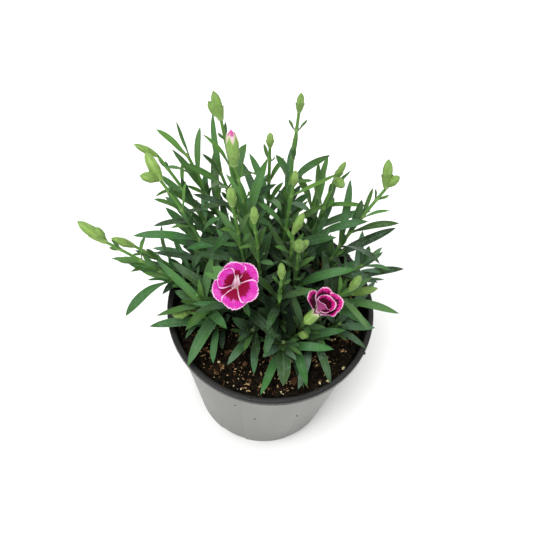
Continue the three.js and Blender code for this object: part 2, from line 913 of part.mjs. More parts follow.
function budBody(f, length, radius) {
  const rings = BUD_PROFILE.map(([at, wide], i) =>
    Array.from({ length: BUD.sides }, (_, j) => {
      const isTip = i === SCALE_TIP.ring && SCALE_TIP.corners.includes(j);
      const r = radius * (isTip ? SCALE_TIP.wide : wide);
      const turn = (2 * Math.PI * j) / BUD.sides;
      return inFrame(f, r * Math.cos(turn), r * Math.sin(turn), length * (isTip ? SCALE_TIP.at : at));
    }),
  );
  return loft([...rings, [inFrame(f, 0, 0, length)]]);
}

// A smaller bud that leaves the foot of the main one, turned and tilted away from it.
function sideFrame(f, turn, tilt) {
  const away = blend(f.x, Math.cos(turn * DEG), f.y, Math.sin(turn * DEG));
  const z = unit(blend(f.z, Math.cos(tilt * DEG), away, Math.sin(tilt * DEG)));
  const x = unit(cross([0, 1, 0], z));
  return { origin: add(inFrame(f, 0, 0, 1.2), times(z, 0.6)), x, y: cross(z, x), z };
}

function budGeometry(stem, shoot) {
  const f = headFrame(stem);
  const main = budBody(f, ...shoot.bud);
  if (!shoot.side) return main;
  const [length, turn, tilt] = shoot.side;
  const side = budBody(sideFrame(f, turn, tilt), length, length * BUD.sideRadius);
  return geometryOf(fuse([solid(main), solid(side)]));
}

// ---------------------------------------------------------------- flowers
// calyx: length and radius. bend: how far a petal turns outwards. cup: how much its sides lift. room: height
// above the calyx and how fast it widens. petals: [angle about the axis, layer it lies in, share of the full
// size, the angle from the axis at which it leaves the calyx].
const FLOWERS = {
  open: {
    calyx: [14.5, 2.6],
    petal: [13.1, 13.6],
    bend: -50,
    cup: 0.03,
    room: [7, 2.4],
    petals: [
      [104, 1, 0.9, 40],
      [153, 2, 0.8, 36],
      [211, 0, 1, 40],
      [270, 1, 1, 41],
      [337, 2, 0.97, 38],
      [49, 0, 1.03, 40],
    ],
  },
  half: {
    calyx: [13, 3.1],
    petal: [12.6, 11.5],
    bend: -46,
    cup: 0.14,
    room: [11, 0.64],
    petals: [
      [88, 1, 1, 14],
      [160, 0, 1, 26],
      [232, 2, 0.75, -10],
      [296, 0, 0.92, 10],
      [15, 2, 1.05, 18],
    ],
  },
};

// The flower's own frame: z out through its face, y up the petals that stand at the back.
function flowerFrame(stem) {
  const z = stem.end;
  const x = unit(cross([0, 1, 0.3], z));
  return { origin: add(stem.at(1), times(z, GAP)), x, y: cross(z, x), z };
}

function flowerCalyx(f, flower) {
  const [length, radius] = flower.calyx;
  const sides = 8;
  const ring = (r, z) => ringAbout(inFrame(f, 0, 0, z), f.x, f.y, r, sides);
  const outer = [ring(1, 0), ring(radius * 0.85, 2), ring(radius, length * 0.45), ring(radius, length)];
  const socket = [ring(radius - 0.8, length * 0.6), ring(radius - 0.7, length + 1)];
  return solid(loft(outer)).subtract(solid(loft(socket)));
}

const PETAL_ROOT = { out: 1.5, up: 1 };

// A petal springs from the mouth of the calyx, turns outwards along an arc and ends in a toothed edge.
// u runs from its foot to its edge, v from side to side.
function petalBody(f, flower, [degrees, layer, share, rise]) {
  const angle = degrees * DEG;
  const length = flower.petal[0] * share;
  const width = (flower.petal[1] * (1 + share)) / 2;
  const radial = blend(f.x, Math.cos(angle), f.y, Math.sin(angle));
  const across = blend(f.x, -Math.sin(angle), f.y, Math.cos(angle));
  const bend = flower.bend * DEG;
  const start = Math.PI / 2 - rise * DEG; // the midrib's angle above the flower's face
  const swing = length / bend;
  const foot = flower.calyx[0] + PETAL_ROOT.up;
  const surface = (u, v, tooth, drop) => {
    const reach = u * (1 - PETAL.rounding * v * v * u) + (u === 1 ? tooth / length : 0);
    const turn = start + bend * reach;
    const out = PETAL_ROOT.out + swing * (Math.sin(turn) - Math.sin(start));
    const up = foot + swing * (Math.cos(start) - Math.cos(turn));
    const half = (width / 2) * (0.09 + 0.91 * Math.sin((Math.PI / 2) * Math.min(1, 1.25 * u)));
    const lift = (layer - 1) * PETAL.layer + flower.cup * half * v * v - drop;
    const middle = blend(radial, out - lift * Math.sin(turn), f.z, up + lift * Math.cos(turn));
    return add(add(f.origin, middle), times(across, v * half));
  };
  const rows = [];
  for (const u of PETAL_STATIONS) {
    const row = [[], []];
    for (let j = 0; j <= PETAL.across; j++) {
      const tooth = j % 2 ? PETAL.tooth : -PETAL.tooth;
      const v = (2 * j) / PETAL.across - 1;
      row[0].push(surface(u, v, tooth, 0));
      row[1].push(surface(u, v, tooth, PETAL.thickness));
    }
    rows.push(row);
  }
  return solid(sheet(rows));
}

// A closed skin round a grid of upper and lower points: rows of [upper points, lower points].
function sheet(rows) {
  const wide = rows[0][0].length;
  const points = rows.flatMap(([top, bottom]) => [...top, ...bottom]);
  const upper = (i, j) => i * 2 * wide + j;
  const lower = (i, j) => upper(i, j) + wide;
  const faces = [];
  const quad = (a, b, c, d) => faces.push(a, b, c, a, c, d);
  const last = rows.length - 1;
  for (let i = 0; i < last; i++) {
    for (let j = 0; j + 1 < wide; j++) {
      quad(upper(i, j), upper(i + 1, j), upper(i + 1, j + 1), upper(i, j + 1));
      quad(lower(i, j), lower(i, j + 1), lower(i + 1, j + 1), lower(i + 1, j));
    }
    quad(upper(i, 0), lower(i, 0), lower(i + 1, 0), upper(i + 1, 0));
    quad(upper(i, wide - 1), upper(i + 1, wide - 1), lower(i + 1, wide - 1), lower(i, wide - 1));
  }
  for (let j = 0; j + 1 < wide; j++) {
    quad(upper(0, j), upper(0, j + 1), lower(0, j + 1), lower(0, j));
    quad(upper(last, j), lower(last, j), lower(last, j + 1), upper(last, j + 1));
  }
  const geometry = new THREE.BufferGeometry();
  geometry.setAttribute("position", new THREE.BufferAttribute(new Float32Array(points.flat()), 3));
  geometry.setIndex(faces);
  return geometry;
}

// The petals' claws as one plug in the calyx, flared above its mouth: height above the mouth, and radius more
// than the calyx's.
const HUB = [
  [-5, -1.2],
  [0.1, -1.2],
  [1, 0],
  [2.4, 0],
];

function petalsBody(f, flower) {
  const [length, radius] = flower.calyx;
  const hub = HUB.map(([z, r]) => ringAbout(inFrame(f, 0, 0, length + z), f.x, f.y, radius + r, 6));
  const petals = flower.petals.map((petal) => petalBody(f, flower, petal));
  return fuse([solid(loft(hub)), ...petals]);
}

// ---------------------------------------------------------------- points that a flower or bud keeps clear
const FACE_ROOM = { step: 2.5, around: 12, radius: 2.2 };

function headRoom(stem, shoot) {
  const points = [];
  const column = (f, length, radius) => {
    for (let z = 0; z <= length; z += 1.5) points.push([inFrame(f, 0, 0, z), radius]);
  };
  if (shoot.bud) {
    const f = headFrame(stem);
    column(f, shoot.bud[0], shoot.bud[1] + 1);
    if (shoot.side) {
      const [length, turn, tilt] = shoot.side;
      column(sideFrame(f, turn, tilt), length, length * BUD.sideRadius + 0.5);
    }
  }
  if (shoot.flower) {
    const flower = FLOWERS[shoot.flower];
    const f = flowerFrame(stem);
    const [length, radius] = flower.calyx;
    column(f, length, radius + 0.6);
    const [top, widening] = flower.room;
    for (let z = 0; z <= top; z += FACE_ROOM.step)
      for (let r = 0; r <= radius + widening * z; r += FACE_ROOM.step) {
        const circle = ringAbout(inFrame(f, 0, 0, length + z), f.x, f.y, r, FACE_ROOM.around);
        for (const point of circle) points.push([point, FACE_ROOM.radius]);
      }
  }
  return points;
}

// ---------------------------------------------------------------- assembly
const finish = (color, roughness) => new THREE.MeshStandardMaterial({ color, roughness, metalness: 0 });
const MATERIALS = {
  pot: finish("#8d8e89", 0.55),
  soil: finish("#2e2219", 0.95),
  leaf: finish("#3c6b45", 0.6),
  bud: finish("#7cae48", 0.5),
  calyx: finish("#6fa23f", 0.5),
  petal: finish("#d92fae", 0.6),
};

const plant = new THREE.Group();
plant.name = "potted_dianthus";
plant.add(meshOf("pot", geometryOf(potBody()), MATERIALS.pot));
plant.add(meshOf("soil", geometryOf(soilBody()), MATERIALS.soil));

const stems = SHOOTS.map(stemOf);
const heads = SHOOTS.map((shoot, i) => headRoom(stems[i], shoot));
const { turns, leaves } = growLeaves(stems, heads);
SHOOTS.forEach((shoot, i) => {
  const [stem, origin] = [stems[i], stems[i].foot];
  const group = new THREE.Group();
  group.position.set(...origin);
  const grow = (name, geometry, material) => group.add(meshOf(name, geometry, material, origin));
  grow(`leafy_stem_${shoot.name}`, leafyStem(stem, shoot, turns[i], leaves[i]), MATERIALS.leaf);
  if (shoot.bud) grow(`bud_${shoot.name}`, budGeometry(stem, shoot), MATERIALS.bud);
  if (shoot.flower) {
    const flower = FLOWERS[shoot.flower];
    const f = flowerFrame(stem);
    grow(`flower_${shoot.flower}_calyx`, geometryOf(flowerCalyx(f, flower)), MATERIALS.calyx);
    grow(`flower_${shoot.flower}_petals`, geometryOf(petalsBody(f, flower)), MATERIALS.petal);
  }
  plant.add(group);
});

export default plant;
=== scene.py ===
"""The looks of a potted dianthus: a nursery pot, its soil, a tuft of leafy stems, buds and two flowers.

The plant grows here by the same rule, layout and seed as in the CAD model, so each fine piece lies
where its CAD solid does. Layout sizes are in millimetres, and meshes are in metres.
"""

import json
import math
from types import SimpleNamespace

import bmesh
import bpy
import numpy as np
from mathutils import Matrix, Vector, noise

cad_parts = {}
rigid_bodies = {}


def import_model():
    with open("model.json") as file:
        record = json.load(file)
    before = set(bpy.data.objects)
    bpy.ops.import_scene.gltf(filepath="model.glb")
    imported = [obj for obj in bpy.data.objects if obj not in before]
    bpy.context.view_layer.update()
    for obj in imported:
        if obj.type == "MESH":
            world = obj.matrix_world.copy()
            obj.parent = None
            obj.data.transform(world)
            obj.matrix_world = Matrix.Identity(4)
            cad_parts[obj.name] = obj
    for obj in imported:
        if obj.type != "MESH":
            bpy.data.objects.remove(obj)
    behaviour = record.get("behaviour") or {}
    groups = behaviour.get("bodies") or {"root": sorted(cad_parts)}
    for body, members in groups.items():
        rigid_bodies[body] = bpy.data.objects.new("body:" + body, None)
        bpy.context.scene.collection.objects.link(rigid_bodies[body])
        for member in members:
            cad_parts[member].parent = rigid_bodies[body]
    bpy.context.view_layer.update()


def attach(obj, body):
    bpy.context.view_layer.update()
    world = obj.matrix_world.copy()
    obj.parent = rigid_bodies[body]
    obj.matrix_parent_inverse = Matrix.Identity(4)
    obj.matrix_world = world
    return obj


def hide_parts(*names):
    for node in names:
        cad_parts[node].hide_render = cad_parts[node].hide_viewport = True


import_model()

MM = 0.001
DEG = math.pi / 180
IMAGE_SIZE = 533  # pixels, the side of the square picture

# ------------------------------------------------------------------ driving sizes, as in the CAD model
POT = SimpleNamespace(
    height=105, rim_radius=60, foot_radius=41, wall=1.1, lip_width=3.4, lip_drop=4, lip_skin=1.1, floor=1.2
)
NOTCH = SimpleNamespace(count=6, width=17, height=2.8, depth=6, first_angle=68)
SLOT = SimpleNamespace(radial=3.4, across=11, radius=37.5)
SOIL = SimpleNamespace(top=95, gap=0.4, mound=3, mound_radius=20)
STEM = SimpleNamespace(radius=1.15, tip_radius=0.85, node_radius=1.45, root_depth=7)
LEAF = SimpleNamespace(
    thickness=0.6, base_share=0.45, width=1.1, widening=(0.09, 0.125), steepest=6, least_curl=4,
)
# How blades turn to the light.
LIGHT = SimpleNamespace(source=(0, -0.4, 0.92), middle=0.6, turning=0.55, most=50)
# Side buds: radius as a share of the length, and where they leave the foot of the main bud.
SIDE_BUD = SimpleNamespace(radius=0.26, height=1.2, gap=0.6)
PETAL = SimpleNamespace(layer=0.75, rounding=0.34, root_out=1.5, root_up=1)
HEAD_GAP = 0.4
FLOWER_LEAN = 0.3  # what turns the flowers' petals about their axes
POT_INSIDE = POT.rim_radius - POT.lip_width  # radius of the wall's inner side at its top
PLANT_SEED = 20240518

# ------------------------------------------------------------------ the plant's layout, as in the CAD model
# Leaf pairs from the top down: place along the stem, leaf length, opening angle.
FLOWERING = [
    (0.91, 8, 28),
    (0.76, 15, 24),
    (0.62, 27, 30),
    (0.5, 34, 38),
    (0.39, 38, 46),
    (0.29, 38, 54),
    (0.2, 34, 62),
    (0.11, 26, 68),
]
YOUNG = [
    (0.99, 24, 9),
    (0.84, 28, 26),
    (0.68, 34, 34),
    (0.53, 38, 42),
    (0.39, 38, 50),
    (0.26, 34, 58),
    (0.14, 28, 66),
]
ROSETTE = [
    (0.98, 16, 20),
    (0.8, 27, 46),
    (0.58, 35, 62),
    (0.36, 36, 72),
]


def shoot(name, root, tip, bow, pairs, **more):
    """A stem from its root (x, y) to its tip: bow is how much it arches, nod the way its end looks
    where that isn't straight on, bud a length and radius, side a side bud's length, turn and tilt,
    and aims are leaves with set tips: place along the stem, tip and width.
    """
    given = dict(nod=None, bud=None, side=None, flower=None, aims=[])
    return SimpleNamespace(name=name, root=root, tip=tip, bow=bow, pairs=pairs, **{**given, **more})


SHOOTS = [
    shoot(
        "01", (-12, 17), (-35.5, 43.9, 217.9), 0.05, FLOWERING, nod=(-0.32, 0.52, 0.79), bud=(16, 2.9),
        side=(10, 165, 27), aims=[(0.76, (-45, 43, 206), 2.2)],
    ),
    shoot(
        "02", (-5, 9), (-26.3, 23.6, 207.3), 0.12, FLOWERING, nod=(-0.16, 0.47, 0.87), bud=(21, 3.6),
        aims=[(0.62, (-10, 37, 199), 5), (0.5, (-24, 33, 183), 5)],
    ),
    shoot(
        "03", (-24, 20), (-70.7, 50.6, 172.7), 0.2, FLOWERING, nod=(-0.87, 0.07, 0.48), bud=(14.5, 2.1),
        aims=[(0.76, (-70, 32, 160), 2), (0.91, (-67, 48, 173), 1.7)],
    ),
    shoot(
        "04", (-29, 12), (-66.6, 34.8, 171.1), 0.2, FLOWERING, nod=(-0.55, 0.64, 0.55), bud=(18, 3.3),
        side=(11.5, 250, 56), aims=[(0.76, (-70, 27, 165), 2.8), (0.91, (-60, 34, 172), 2.5)],
    ),
    shoot(
        "05", (-27, -2), (-95.2, 12, 139.3), 0.12, FLOWERING, nod=(-0.77, 0.2, 0.6), bud=(20.5, 3.3),
        side=(10, 9, 25),
        aims=[(0.5, (-80, -24, 122), 6.2), (0.76, (-90, 6, 137), 4.5), (0.76, (-74, 17, 142), 2.8)],
    ),
    shoot(
        "06", (-21, 6), (-80.7, 17, 130), 0.02, FLOWERING, nod=(-0.86, -0.05, 0.5), bud=(14.5, 2.4),
        aims=[(0.62, (-81, 3, 125), 3.6), (0.5, (-61, 12, 129), 5)],
    ),
    shoot("07", (-12, 2), (-25.1, 4.6, 199.1), 0.1, FLOWERING, nod=(-0.15, 0.29, 0.94), bud=(12.5, 2.5)),
    shoot("08", (-4, -4), (-13.3, 1.4, 190.6), 0.1, FLOWERING, nod=(-0.09, 0.28, 0.96), bud=(11, 2.2)),
    shoot(
        "09", (2, 22), (3.7, 51.1, 221.8), 0.06, FLOWERING, bud=(12, 2.1),
        aims=[(0.62, (23, 46, 195), 4.2), (0.62, (-6, 42, 196), 4.5), (0.39, (15, 36, 173), 4.5)],
    ),
    shoot("10", (-5, 26), (-9.4, 42.2, 201.8), 0.06, FLOWERING, bud=(10, 2)),
    shoot(
        "11", (2, 13), (4.7, 22.5, 198.3), 0.08, FLOWERING, bud=(10.5, 1.9),
        aims=[(0.91, (27, 26, 207), 2.2)],
    ),
    shoot(
        "12", (14, 20), (26.6, 38.2, 183.6), 0.08, FLOWERING, nod=(0.36, 0.36, 0.86), bud=(13, 1.9),
        side=(10, 281, 76),
        aims=[(0.76, (27, 35, 173), 2.8), (0.91, (35, 42, 189), 1.9), (0.29, (31, 27, 145), 5.6)],
    ),
    shoot(
        "13", (19, 13), (55.4, 40.9, 177.2), 0.1, FLOWERING, nod=(-0.06, 0.41, 0.91), bud=(18, 3),
        side=(10, 339, 41),
        aims=[(0.62, (43, 35, 173), 4.5), (0.62, (65, 28, 164), 4.2), (0.76, (59, 33, 168), 2)],
    ),
    shoot("14", (8, 5), (7.3, 4.5, 179.7), 0.05, FLOWERING, nod=(0.27, 0.29, 0.92), bud=(15, 2.3)),
    shoot(
        "15", (12, -3), (11.3, -1.8, 173.9), 0.05, FLOWERING, nod=(-0.06, -0.23, 0.97), bud=(13, 3.2),
        side=(8, 33, 42),
    ),
    shoot(
        "16", (4, -10), (3.6, -15.5, 166), 0.05, FLOWERING, nod=(-0.09, 0.34, 0.94), bud=(10.5, 2.1),
        aims=[(0.11, (3, -17, 107), 4.5)],
    ),
    shoot(
        "17", (24, -1), (41.7, -6.1, 144.7), 0.1, FLOWERING[1:], nod=(0.34, 0.21, 0.92), bud=(13, 2.4),
        aims=[(0.76, (54, -24, 135), 3.4), (0.11, (27, -26, 107), 3.4)],
    ),
    shoot(
        "18", (26, 7), (45, 6.2, 119.2), 0.1, FLOWERING[2:], nod=(0.86, 0.06, 0.5), bud=(16, 2.3),
        aims=[(0.62, (72, -6, 124), 4.8), (0.39, (27, 11, 120), 2.8), (0.62, (30, 13, 132), 3.4)],
    ),
    shoot(
        "19", (13, -17), (17.4, -21.6, 117.3), 0.1, FLOWERING[4:], nod=(0.42, -0.48, 0.77), bud=(10, 2.2),
        aims=[(0.11, (23, -45, 97), 4.8)],
    ),
    shoot(
        "20", (-24, -12), (-45.5, -14.6, 117), 0.1, FLOWERING[4:], nod=(-0.73, -0.5, 0.47), bud=(12, 2.8),
        aims=[(0.11, (-25, -29, 103), 3.9)],
    ),
    shoot("21", (-13, -6), (-20, -16, 156), 0.06, FLOWERING[2:], nod=(0.02, -0.5, 0.87), flower="open"),
    shoot("22", (18, -10), (19.3, -25.1, 138.2), 0.06, FLOWERING[2:], nod=(0.41, 0.08, 0.91), flower="half"),
    shoot(
        "23", (-18, 27), (-54.5, 50, 178), 0.06, YOUNG,
        aims=[(0.68, (-63, 53, 177), 3.9), (0.99, (-62, 56, 198), 2), (0.26, (-35, 48, 145), 4.5)],
    ),
    shoot("24", (-12, 34), (-35.5, 46, 170), 0.05, YOUNG, aims=[(0.99, (-42, 64, 199), 3.4)]),
    shoot(
        "25", (14, 31), (19, 48.8, 152), 0.1, YOUNG,
        aims=[(0.84, (49, 41, 158), 2.8), (0.99, (20, 57, 173), 3.4)],
    ),
    shoot(
        "26", (6, -23), (9, -25, 112), 0, ROSETTE,
        aims=[(0.8, (11, -50, 108), 7.8), (0.58, (-2, -35, 111), 4.5)],
    ),
    shoot(
        "27", (-7, -17), (-9, -20, 113), 0, ROSETTE,
        aims=[
            (0.58, (-21, -44, 115), 4.8), (0.8, (-5, -37, 114), 4.5), (0.36, (0, -44, 110), 4.5),
            (0.8, (-21, -19, 123), 5.6),
        ],
    ),
    shoot("28", (22, -20), (27, -20, 113), 0, ROSETTE, aims=[(0.8, (37, -46, 109), 4.5)]),
    shoot(
        "29", (33, -7), (40, -10, 112), 0, ROSETTE,
        aims=[(0.8, (59, -16, 123), 4.5), (0.58, (56, -24, 120), 3.6), (0.36, (44, -16, 109), 4.5)],
    ),
    shoot("30", (-38, 19), (-47, 24, 117), 0, ROSETTE, aims=[(0.98, (-54, 39, 138), 4.5)]),
    shoot(
        "31", (34, 14), (50, 24, 124), 0.1, ROSETTE,
        aims=[
            (0.98, (52, 29, 137), 3.9), (0.98, (60, 28, 134), 3.1), (0.8, (60, 15, 131), 3.1),
            (0.36, (62, 11, 131), 2.5),
        ],
    ),
    shoot("32", (-31, -8), (-42, -10, 129), 0.05, YOUNG[2:], aims=[(0.68, (-62, -27, 132), 3.4)]),
    shoot("33", (-20, -1), (-34, -8, 132), 0.05, YOUNG[2:], aims=[(0.39, (-43, -45, 110), 6.7)]),
]

# calyx: length and radius. petal: full length and width. bend: how far a petal turns outwards. cup: how much
# its sides lift. room: height above the calyx and how fast it widens. petals: angle about the axis, layer it
# lies in, share of the full size and the angle from the axis at which it leaves the calyx. ruffle: how far a
# petal's edge waves. inner: small petals inside the others.
FLOWERS = {
    "open": SimpleNamespace(
        calyx=(14.5, 2.6), petal=(13.1, 13.6), bend=-50, cup=0.03, room=(7, 2.4), ruffle=0.24,
        petals=[
            (104, 1, 0.9, 40), (153, 2, 0.8, 36), (211, 0, 1, 40),
            (270, 1, 1, 41), (337, 2, 0.97, 38), (49, 0, 1.03, 40),
        ],
        inner=[],
    ),
    "half": SimpleNamespace(
        calyx=(13, 3.1), petal=(12.6, 11.5), bend=-46, cup=0.14, room=(11, 0.64), ruffle=0.4,
        petals=[(88, 1, 1, 14), (160, 0, 1, 26), (232, 2, 0.75, -10), (296, 0, 0.92, 10), (15, 2, 1.05, 18)],
        inner=[(60, 2.7, 0.74, 4), (350, 3.0, 0.8, 4)],
    ),
}


# ------------------------------------------------------------------ small vector helpers
def vec(*values):
    return np.array(values, float)


def unit(a):
    return a / np.sqrt((a * a).sum(-1, keepdims=True))


DRAW_FACTOR, DRAW_MODULUS = 16807, 2**31 - 1


def seeded(seed):
    """A seeded draw between two numbers, by the same row of numbers as in the CAD model."""
    state = seed

    def between(low, high):
        nonlocal state
        state = state * DRAW_FACTOR % DRAW_MODULUS
        return low + (high - low) * (state / DRAW_MODULUS)

    return between


def smooth(value, low, high):
    """0 below low, 1 above high and an even S between them."""
    t = np.clip((value - low) / (high - low), 0, 1)
    return t * t * (3 - 2 * t)


# ------------------------------------------------------------------ stems
def soil_height(x, y):
    mound = SOIL.mound * np.exp(-(x * x + y * y) / SOIL.mound_radius**2)
    broad = 0.7 * np.sin(0.29 * x + 1.3) * np.cos(0.33 * y)
    narrow = 0.5 * np.sin(0.71 * x - 0.52 * y + 0.8)
    return SOIL.top + mound + broad + narrow


class Stem:
    """A stem's line: straight up out of the soil, then one quadratic curve to its tip."""

    def __init__(self, plan):
        x, y = plan.root
        ground = soil_height(x, y)
        self.start = vec(x, y, ground + 1)
        self.tip = vec(*plan.tip)
        reach = self.tip - self.start
        self.middle = self.start + reach * vec(0.5 - plan.bow, 0.5 - plan.bow, 0.5 + 0.6 * plan.bow)
        self.foot = vec(x, y, ground - STEM.root_depth)
        self.length = math.sqrt(reach @ reach)
        self.end = unit(vec(*plan.nod)) if plan.nod else self.along(1)

    def at(self, s):
        s = np.asarray(s, float)[..., None]
        return self.start * (1 - s) ** 2 + self.middle * (2 * (1 - s) * s) + self.tip * s * s

    def along(self, s):
        s = np.asarray(s, float)[..., None]
        return unit((self.middle - self.start) * (1 - s) + (self.tip - self.middle) * s)

    def across(self, s):
        """Two directions across the stem, each square to it and to the other."""
        along = self.along(s)
        one = unit(np.cross(vec(1, 0, 0), along))
        return one, np.cross(along, one)

    def axil(self, plan, stem_turn):
        """Where a planned leaf leaves the stem, the turn that it faces, and the directions of that turn."""
        one, two = self.across(plan.place)
        facing = stem_turn + plan.facet * math.pi / 2
        facet = one * math.cos(facing) + two * math.sin(facing)
        return self.at(plan.place) + facet * (STEM.node_radius * math.sqrt(0.5)), facing, one, two


# ------------------------------------------------------------------ leaves
def leaf_width(t):
    return np.minimum(1, LEAF.base_share + 1.6 * t) * (1 - t**6)


def midrib(leaf, t):
    """Places along the leaf's arc at the shares t, and the ways across the blade and out of its face."""
    turn = leaf.open + leaf.curl * t
    swing = leaf.length / leaf.curl
    out = swing * (math.cos(leaf.open) - np.cos(turn))
    up = swing * (np.sin(turn) - math.sin(leaf.open))
    at = leaf.base + up[:, None] * leaf.along + out[:, None] * leaf.outwards
    flat_normal = np.sin(turn)[:, None] * leaf.along - np.cos(turn)[:, None] * leaf.outwards
    flat_side = np.cross(leaf.along, leaf.outwards)
    cosine, sine = np.cos(leaf.twist * t)[:, None], np.sin(leaf.twist * t)[:, None]
    return at, flat_side * cosine + flat_normal * sine, flat_normal * cosine - flat_side * sine


ROOM = SimpleNamespace(
    step=0.9, stem=1.7, leaf=0.8, own_stem=1.9, own_leaf=1.1, own_from=0.2, soil=1.2, rim=1.5,
)
ROOM_REACH = 6  # no point asks for more room than this
ROOM_POINTS = 200000
SAMPLE_SHARES = vec(-1, -0.5, 0, 0.5, 1)
SAMPLES_AT_ONCE = 60


class Room:
    """Points on stems, buds, flowers and leaves, each with the room that it needs."""

    def __init__(self):
        self.points = np.empty((ROOM_POINTS, 3))
        self.facts = np.empty((ROOM_POINTS, 3))  # radius, owner, radius for its owner
        self.count = 0

    def put(self, points, radius, owner, own_radius):
        points = np.atleast_2d(points)
        end = self.count + len(points)
        self.points[self.count:end] = points
        self.facts[self.count:end] = (radius, owner, own_radius)
        self.count = end

    def near(self, points):
        known = self.points[:self.count]
        low, high = points.min(0) - ROOM_REACH, points.max(0) + ROOM_REACH
        close = ((known > low) & (known < high)).all(1)
        return known[close], self.facts[:self.count][close]

    def is_free(self, points, owner, minding, spare):
        """Whether points keep clear of all that is known. Those not minding ignore their owner's points."""
        for first in range(0, len(points), SAMPLES_AT_ONCE):
            some = points[first:first + SAMPLES_AT_ONCE]
            others, facts = self.near(some)
            own = facts[:, 1] == owner
            need = np.where(own, facts[:, 2], facts[:, 0] + spare)
            gap = ((some[:, None, :] - others[None]) ** 2).sum(2)
            counts = ~own[None] | minding[first:first + SAMPLES_AT_ONCE, None]
            if ((gap < need**2) & counts).any():
                return False
        return True


def leaf_samples(leaf):
    count = math.ceil(leaf.length / ROOM.step)
    t = np.arange(1, count + 1) / count
    at, side, normal = midrib(leaf, t)
    middle = at - normal * (LEAF.thickness / 2)
    half = leaf.width / 2 * leaf_width(t)
    points = middle[:, None, :] + side[:, None, :] * (half[:, None] * SAMPLE_SHARES)[..., None]
    return points.reshape(-1, 3), np.repeat(t, len(SAMPLE_SHARES))


def clear_of_pot(points):
    x, y, z = points.T
    outside = np.hypot(x, y) > POT.rim_radius - POT.lip_width - ROOM.rim
    return np.where(outside, z > POT.height + ROOM.rim, z > soil_height(x, y) + ROOM.soil).all()


# Turn, lift and share of the length that a leaf tries one after the other until it is clear of all else.
TRIES = [
    (0, 0, 1),
    (14, 0, 1),
    (-14, 0, 1),
    (0, -12, 1),
    (26, -5, 1),
    (-26, -5, 1),
    (12, -20, 0.95),
    (-12, -20, 0.95),
    (0, 12, 0.9),
    (38, 0, 0.85),
    (-38, 0, 0.85),
    (0, -28, 0.8),
    (20, -10, 0.7),
    (-20, -10, 0.7),
    (0, 0, 0.55),
]


def twist_to_light(leaf):
    """The twist that turns a blade's nearer broad side to the light by its middle."""
    turn = leaf.open + leaf.curl * LIGHT.middle
    light = unit(vec(*LIGHT.source))
    face = (leaf.along * math.sin(turn) - leaf.outwards * math.cos(turn)) @ light
    side = np.cross(leaf.along, leaf.outwards) @ light
    roll = math.atan2(-side * np.sign(face), abs(face))
    most = LIGHT.most * DEG
    return max(-most, min(most, roll)) / LIGHT.middle


def place_leaf(plan, stem, stem_turn, room, owner, spare=ROOM.leaf):
    """The planned leaf as the first of the tries that is free, and its points, or None twice."""
    base, facing, one, two = stem.axil(plan, stem_turn)
    along = stem.along(plan.place)
    for turn, lift, share in TRIES:
        leaf = SimpleNamespace(**{**vars(plan), "base": base, "along": along, "length": plan.length * share})
        outwards = facing + plan.swerve + turn * DEG
        leaf.outwards = one * math.cos(outwards) + two * math.sin(outwards)
        leaf.open = max(LEAF.steepest * DEG, plan.open + lift * DEG)
        leaf.twist = plan.twist + plan.turning * twist_to_light(leaf)
        points, t = leaf_samples(leaf)
        if clear_of_pot(points) and room.is_free(points, owner, t > ROOM.own_from, spare):
            return leaf, points
    return None, None


def aim_at(plan, aim, stem, stem_turn):
    """The plan with what takes its tip to the aim's target, or None if it faces away."""
    _, target, width = aim
    base, facing, one, two = stem.axil(plan, stem_turn)
    way = vec(*target) - base
    x, y, up = way @ one, way @ two, way @ stem.along(plan.place)
    swerve = math.atan2(y, x) - facing
    swerve = math.atan2(math.sin(swerve), math.cos(swerve))
    if abs(swerve) >= math.pi / 2:
        return None
    leaning = math.atan2(math.hypot(x, y), up)
    curl = max(LEAF.least_curl * DEG, min(plan.curl, 2 * leaning - 2 * LEAF.steepest * DEG))
    changes = dict(width=width, aimed=True, twist=0, turning=1, swerve=swerve, curl=curl)
    changes["open"] = leaning - curl / 2
    changes["length"] = math.sqrt(way @ way) * (curl / 2) / math.sin(curl / 2)
    return SimpleNamespace(**{**vars(plan), **changes})


def turn_towards(stem, plan, aim):
    """The turn of a stem that makes its first aimed pair face its target."""
    place, target, _ = aim
    one, two = stem.across(place)
    way = vec(*target) - stem.at(place)
    level = [pair[0] for pair in plan.pairs].index(place)
    return math.atan2(way @ two, way @ one) - level * math.pi / 2


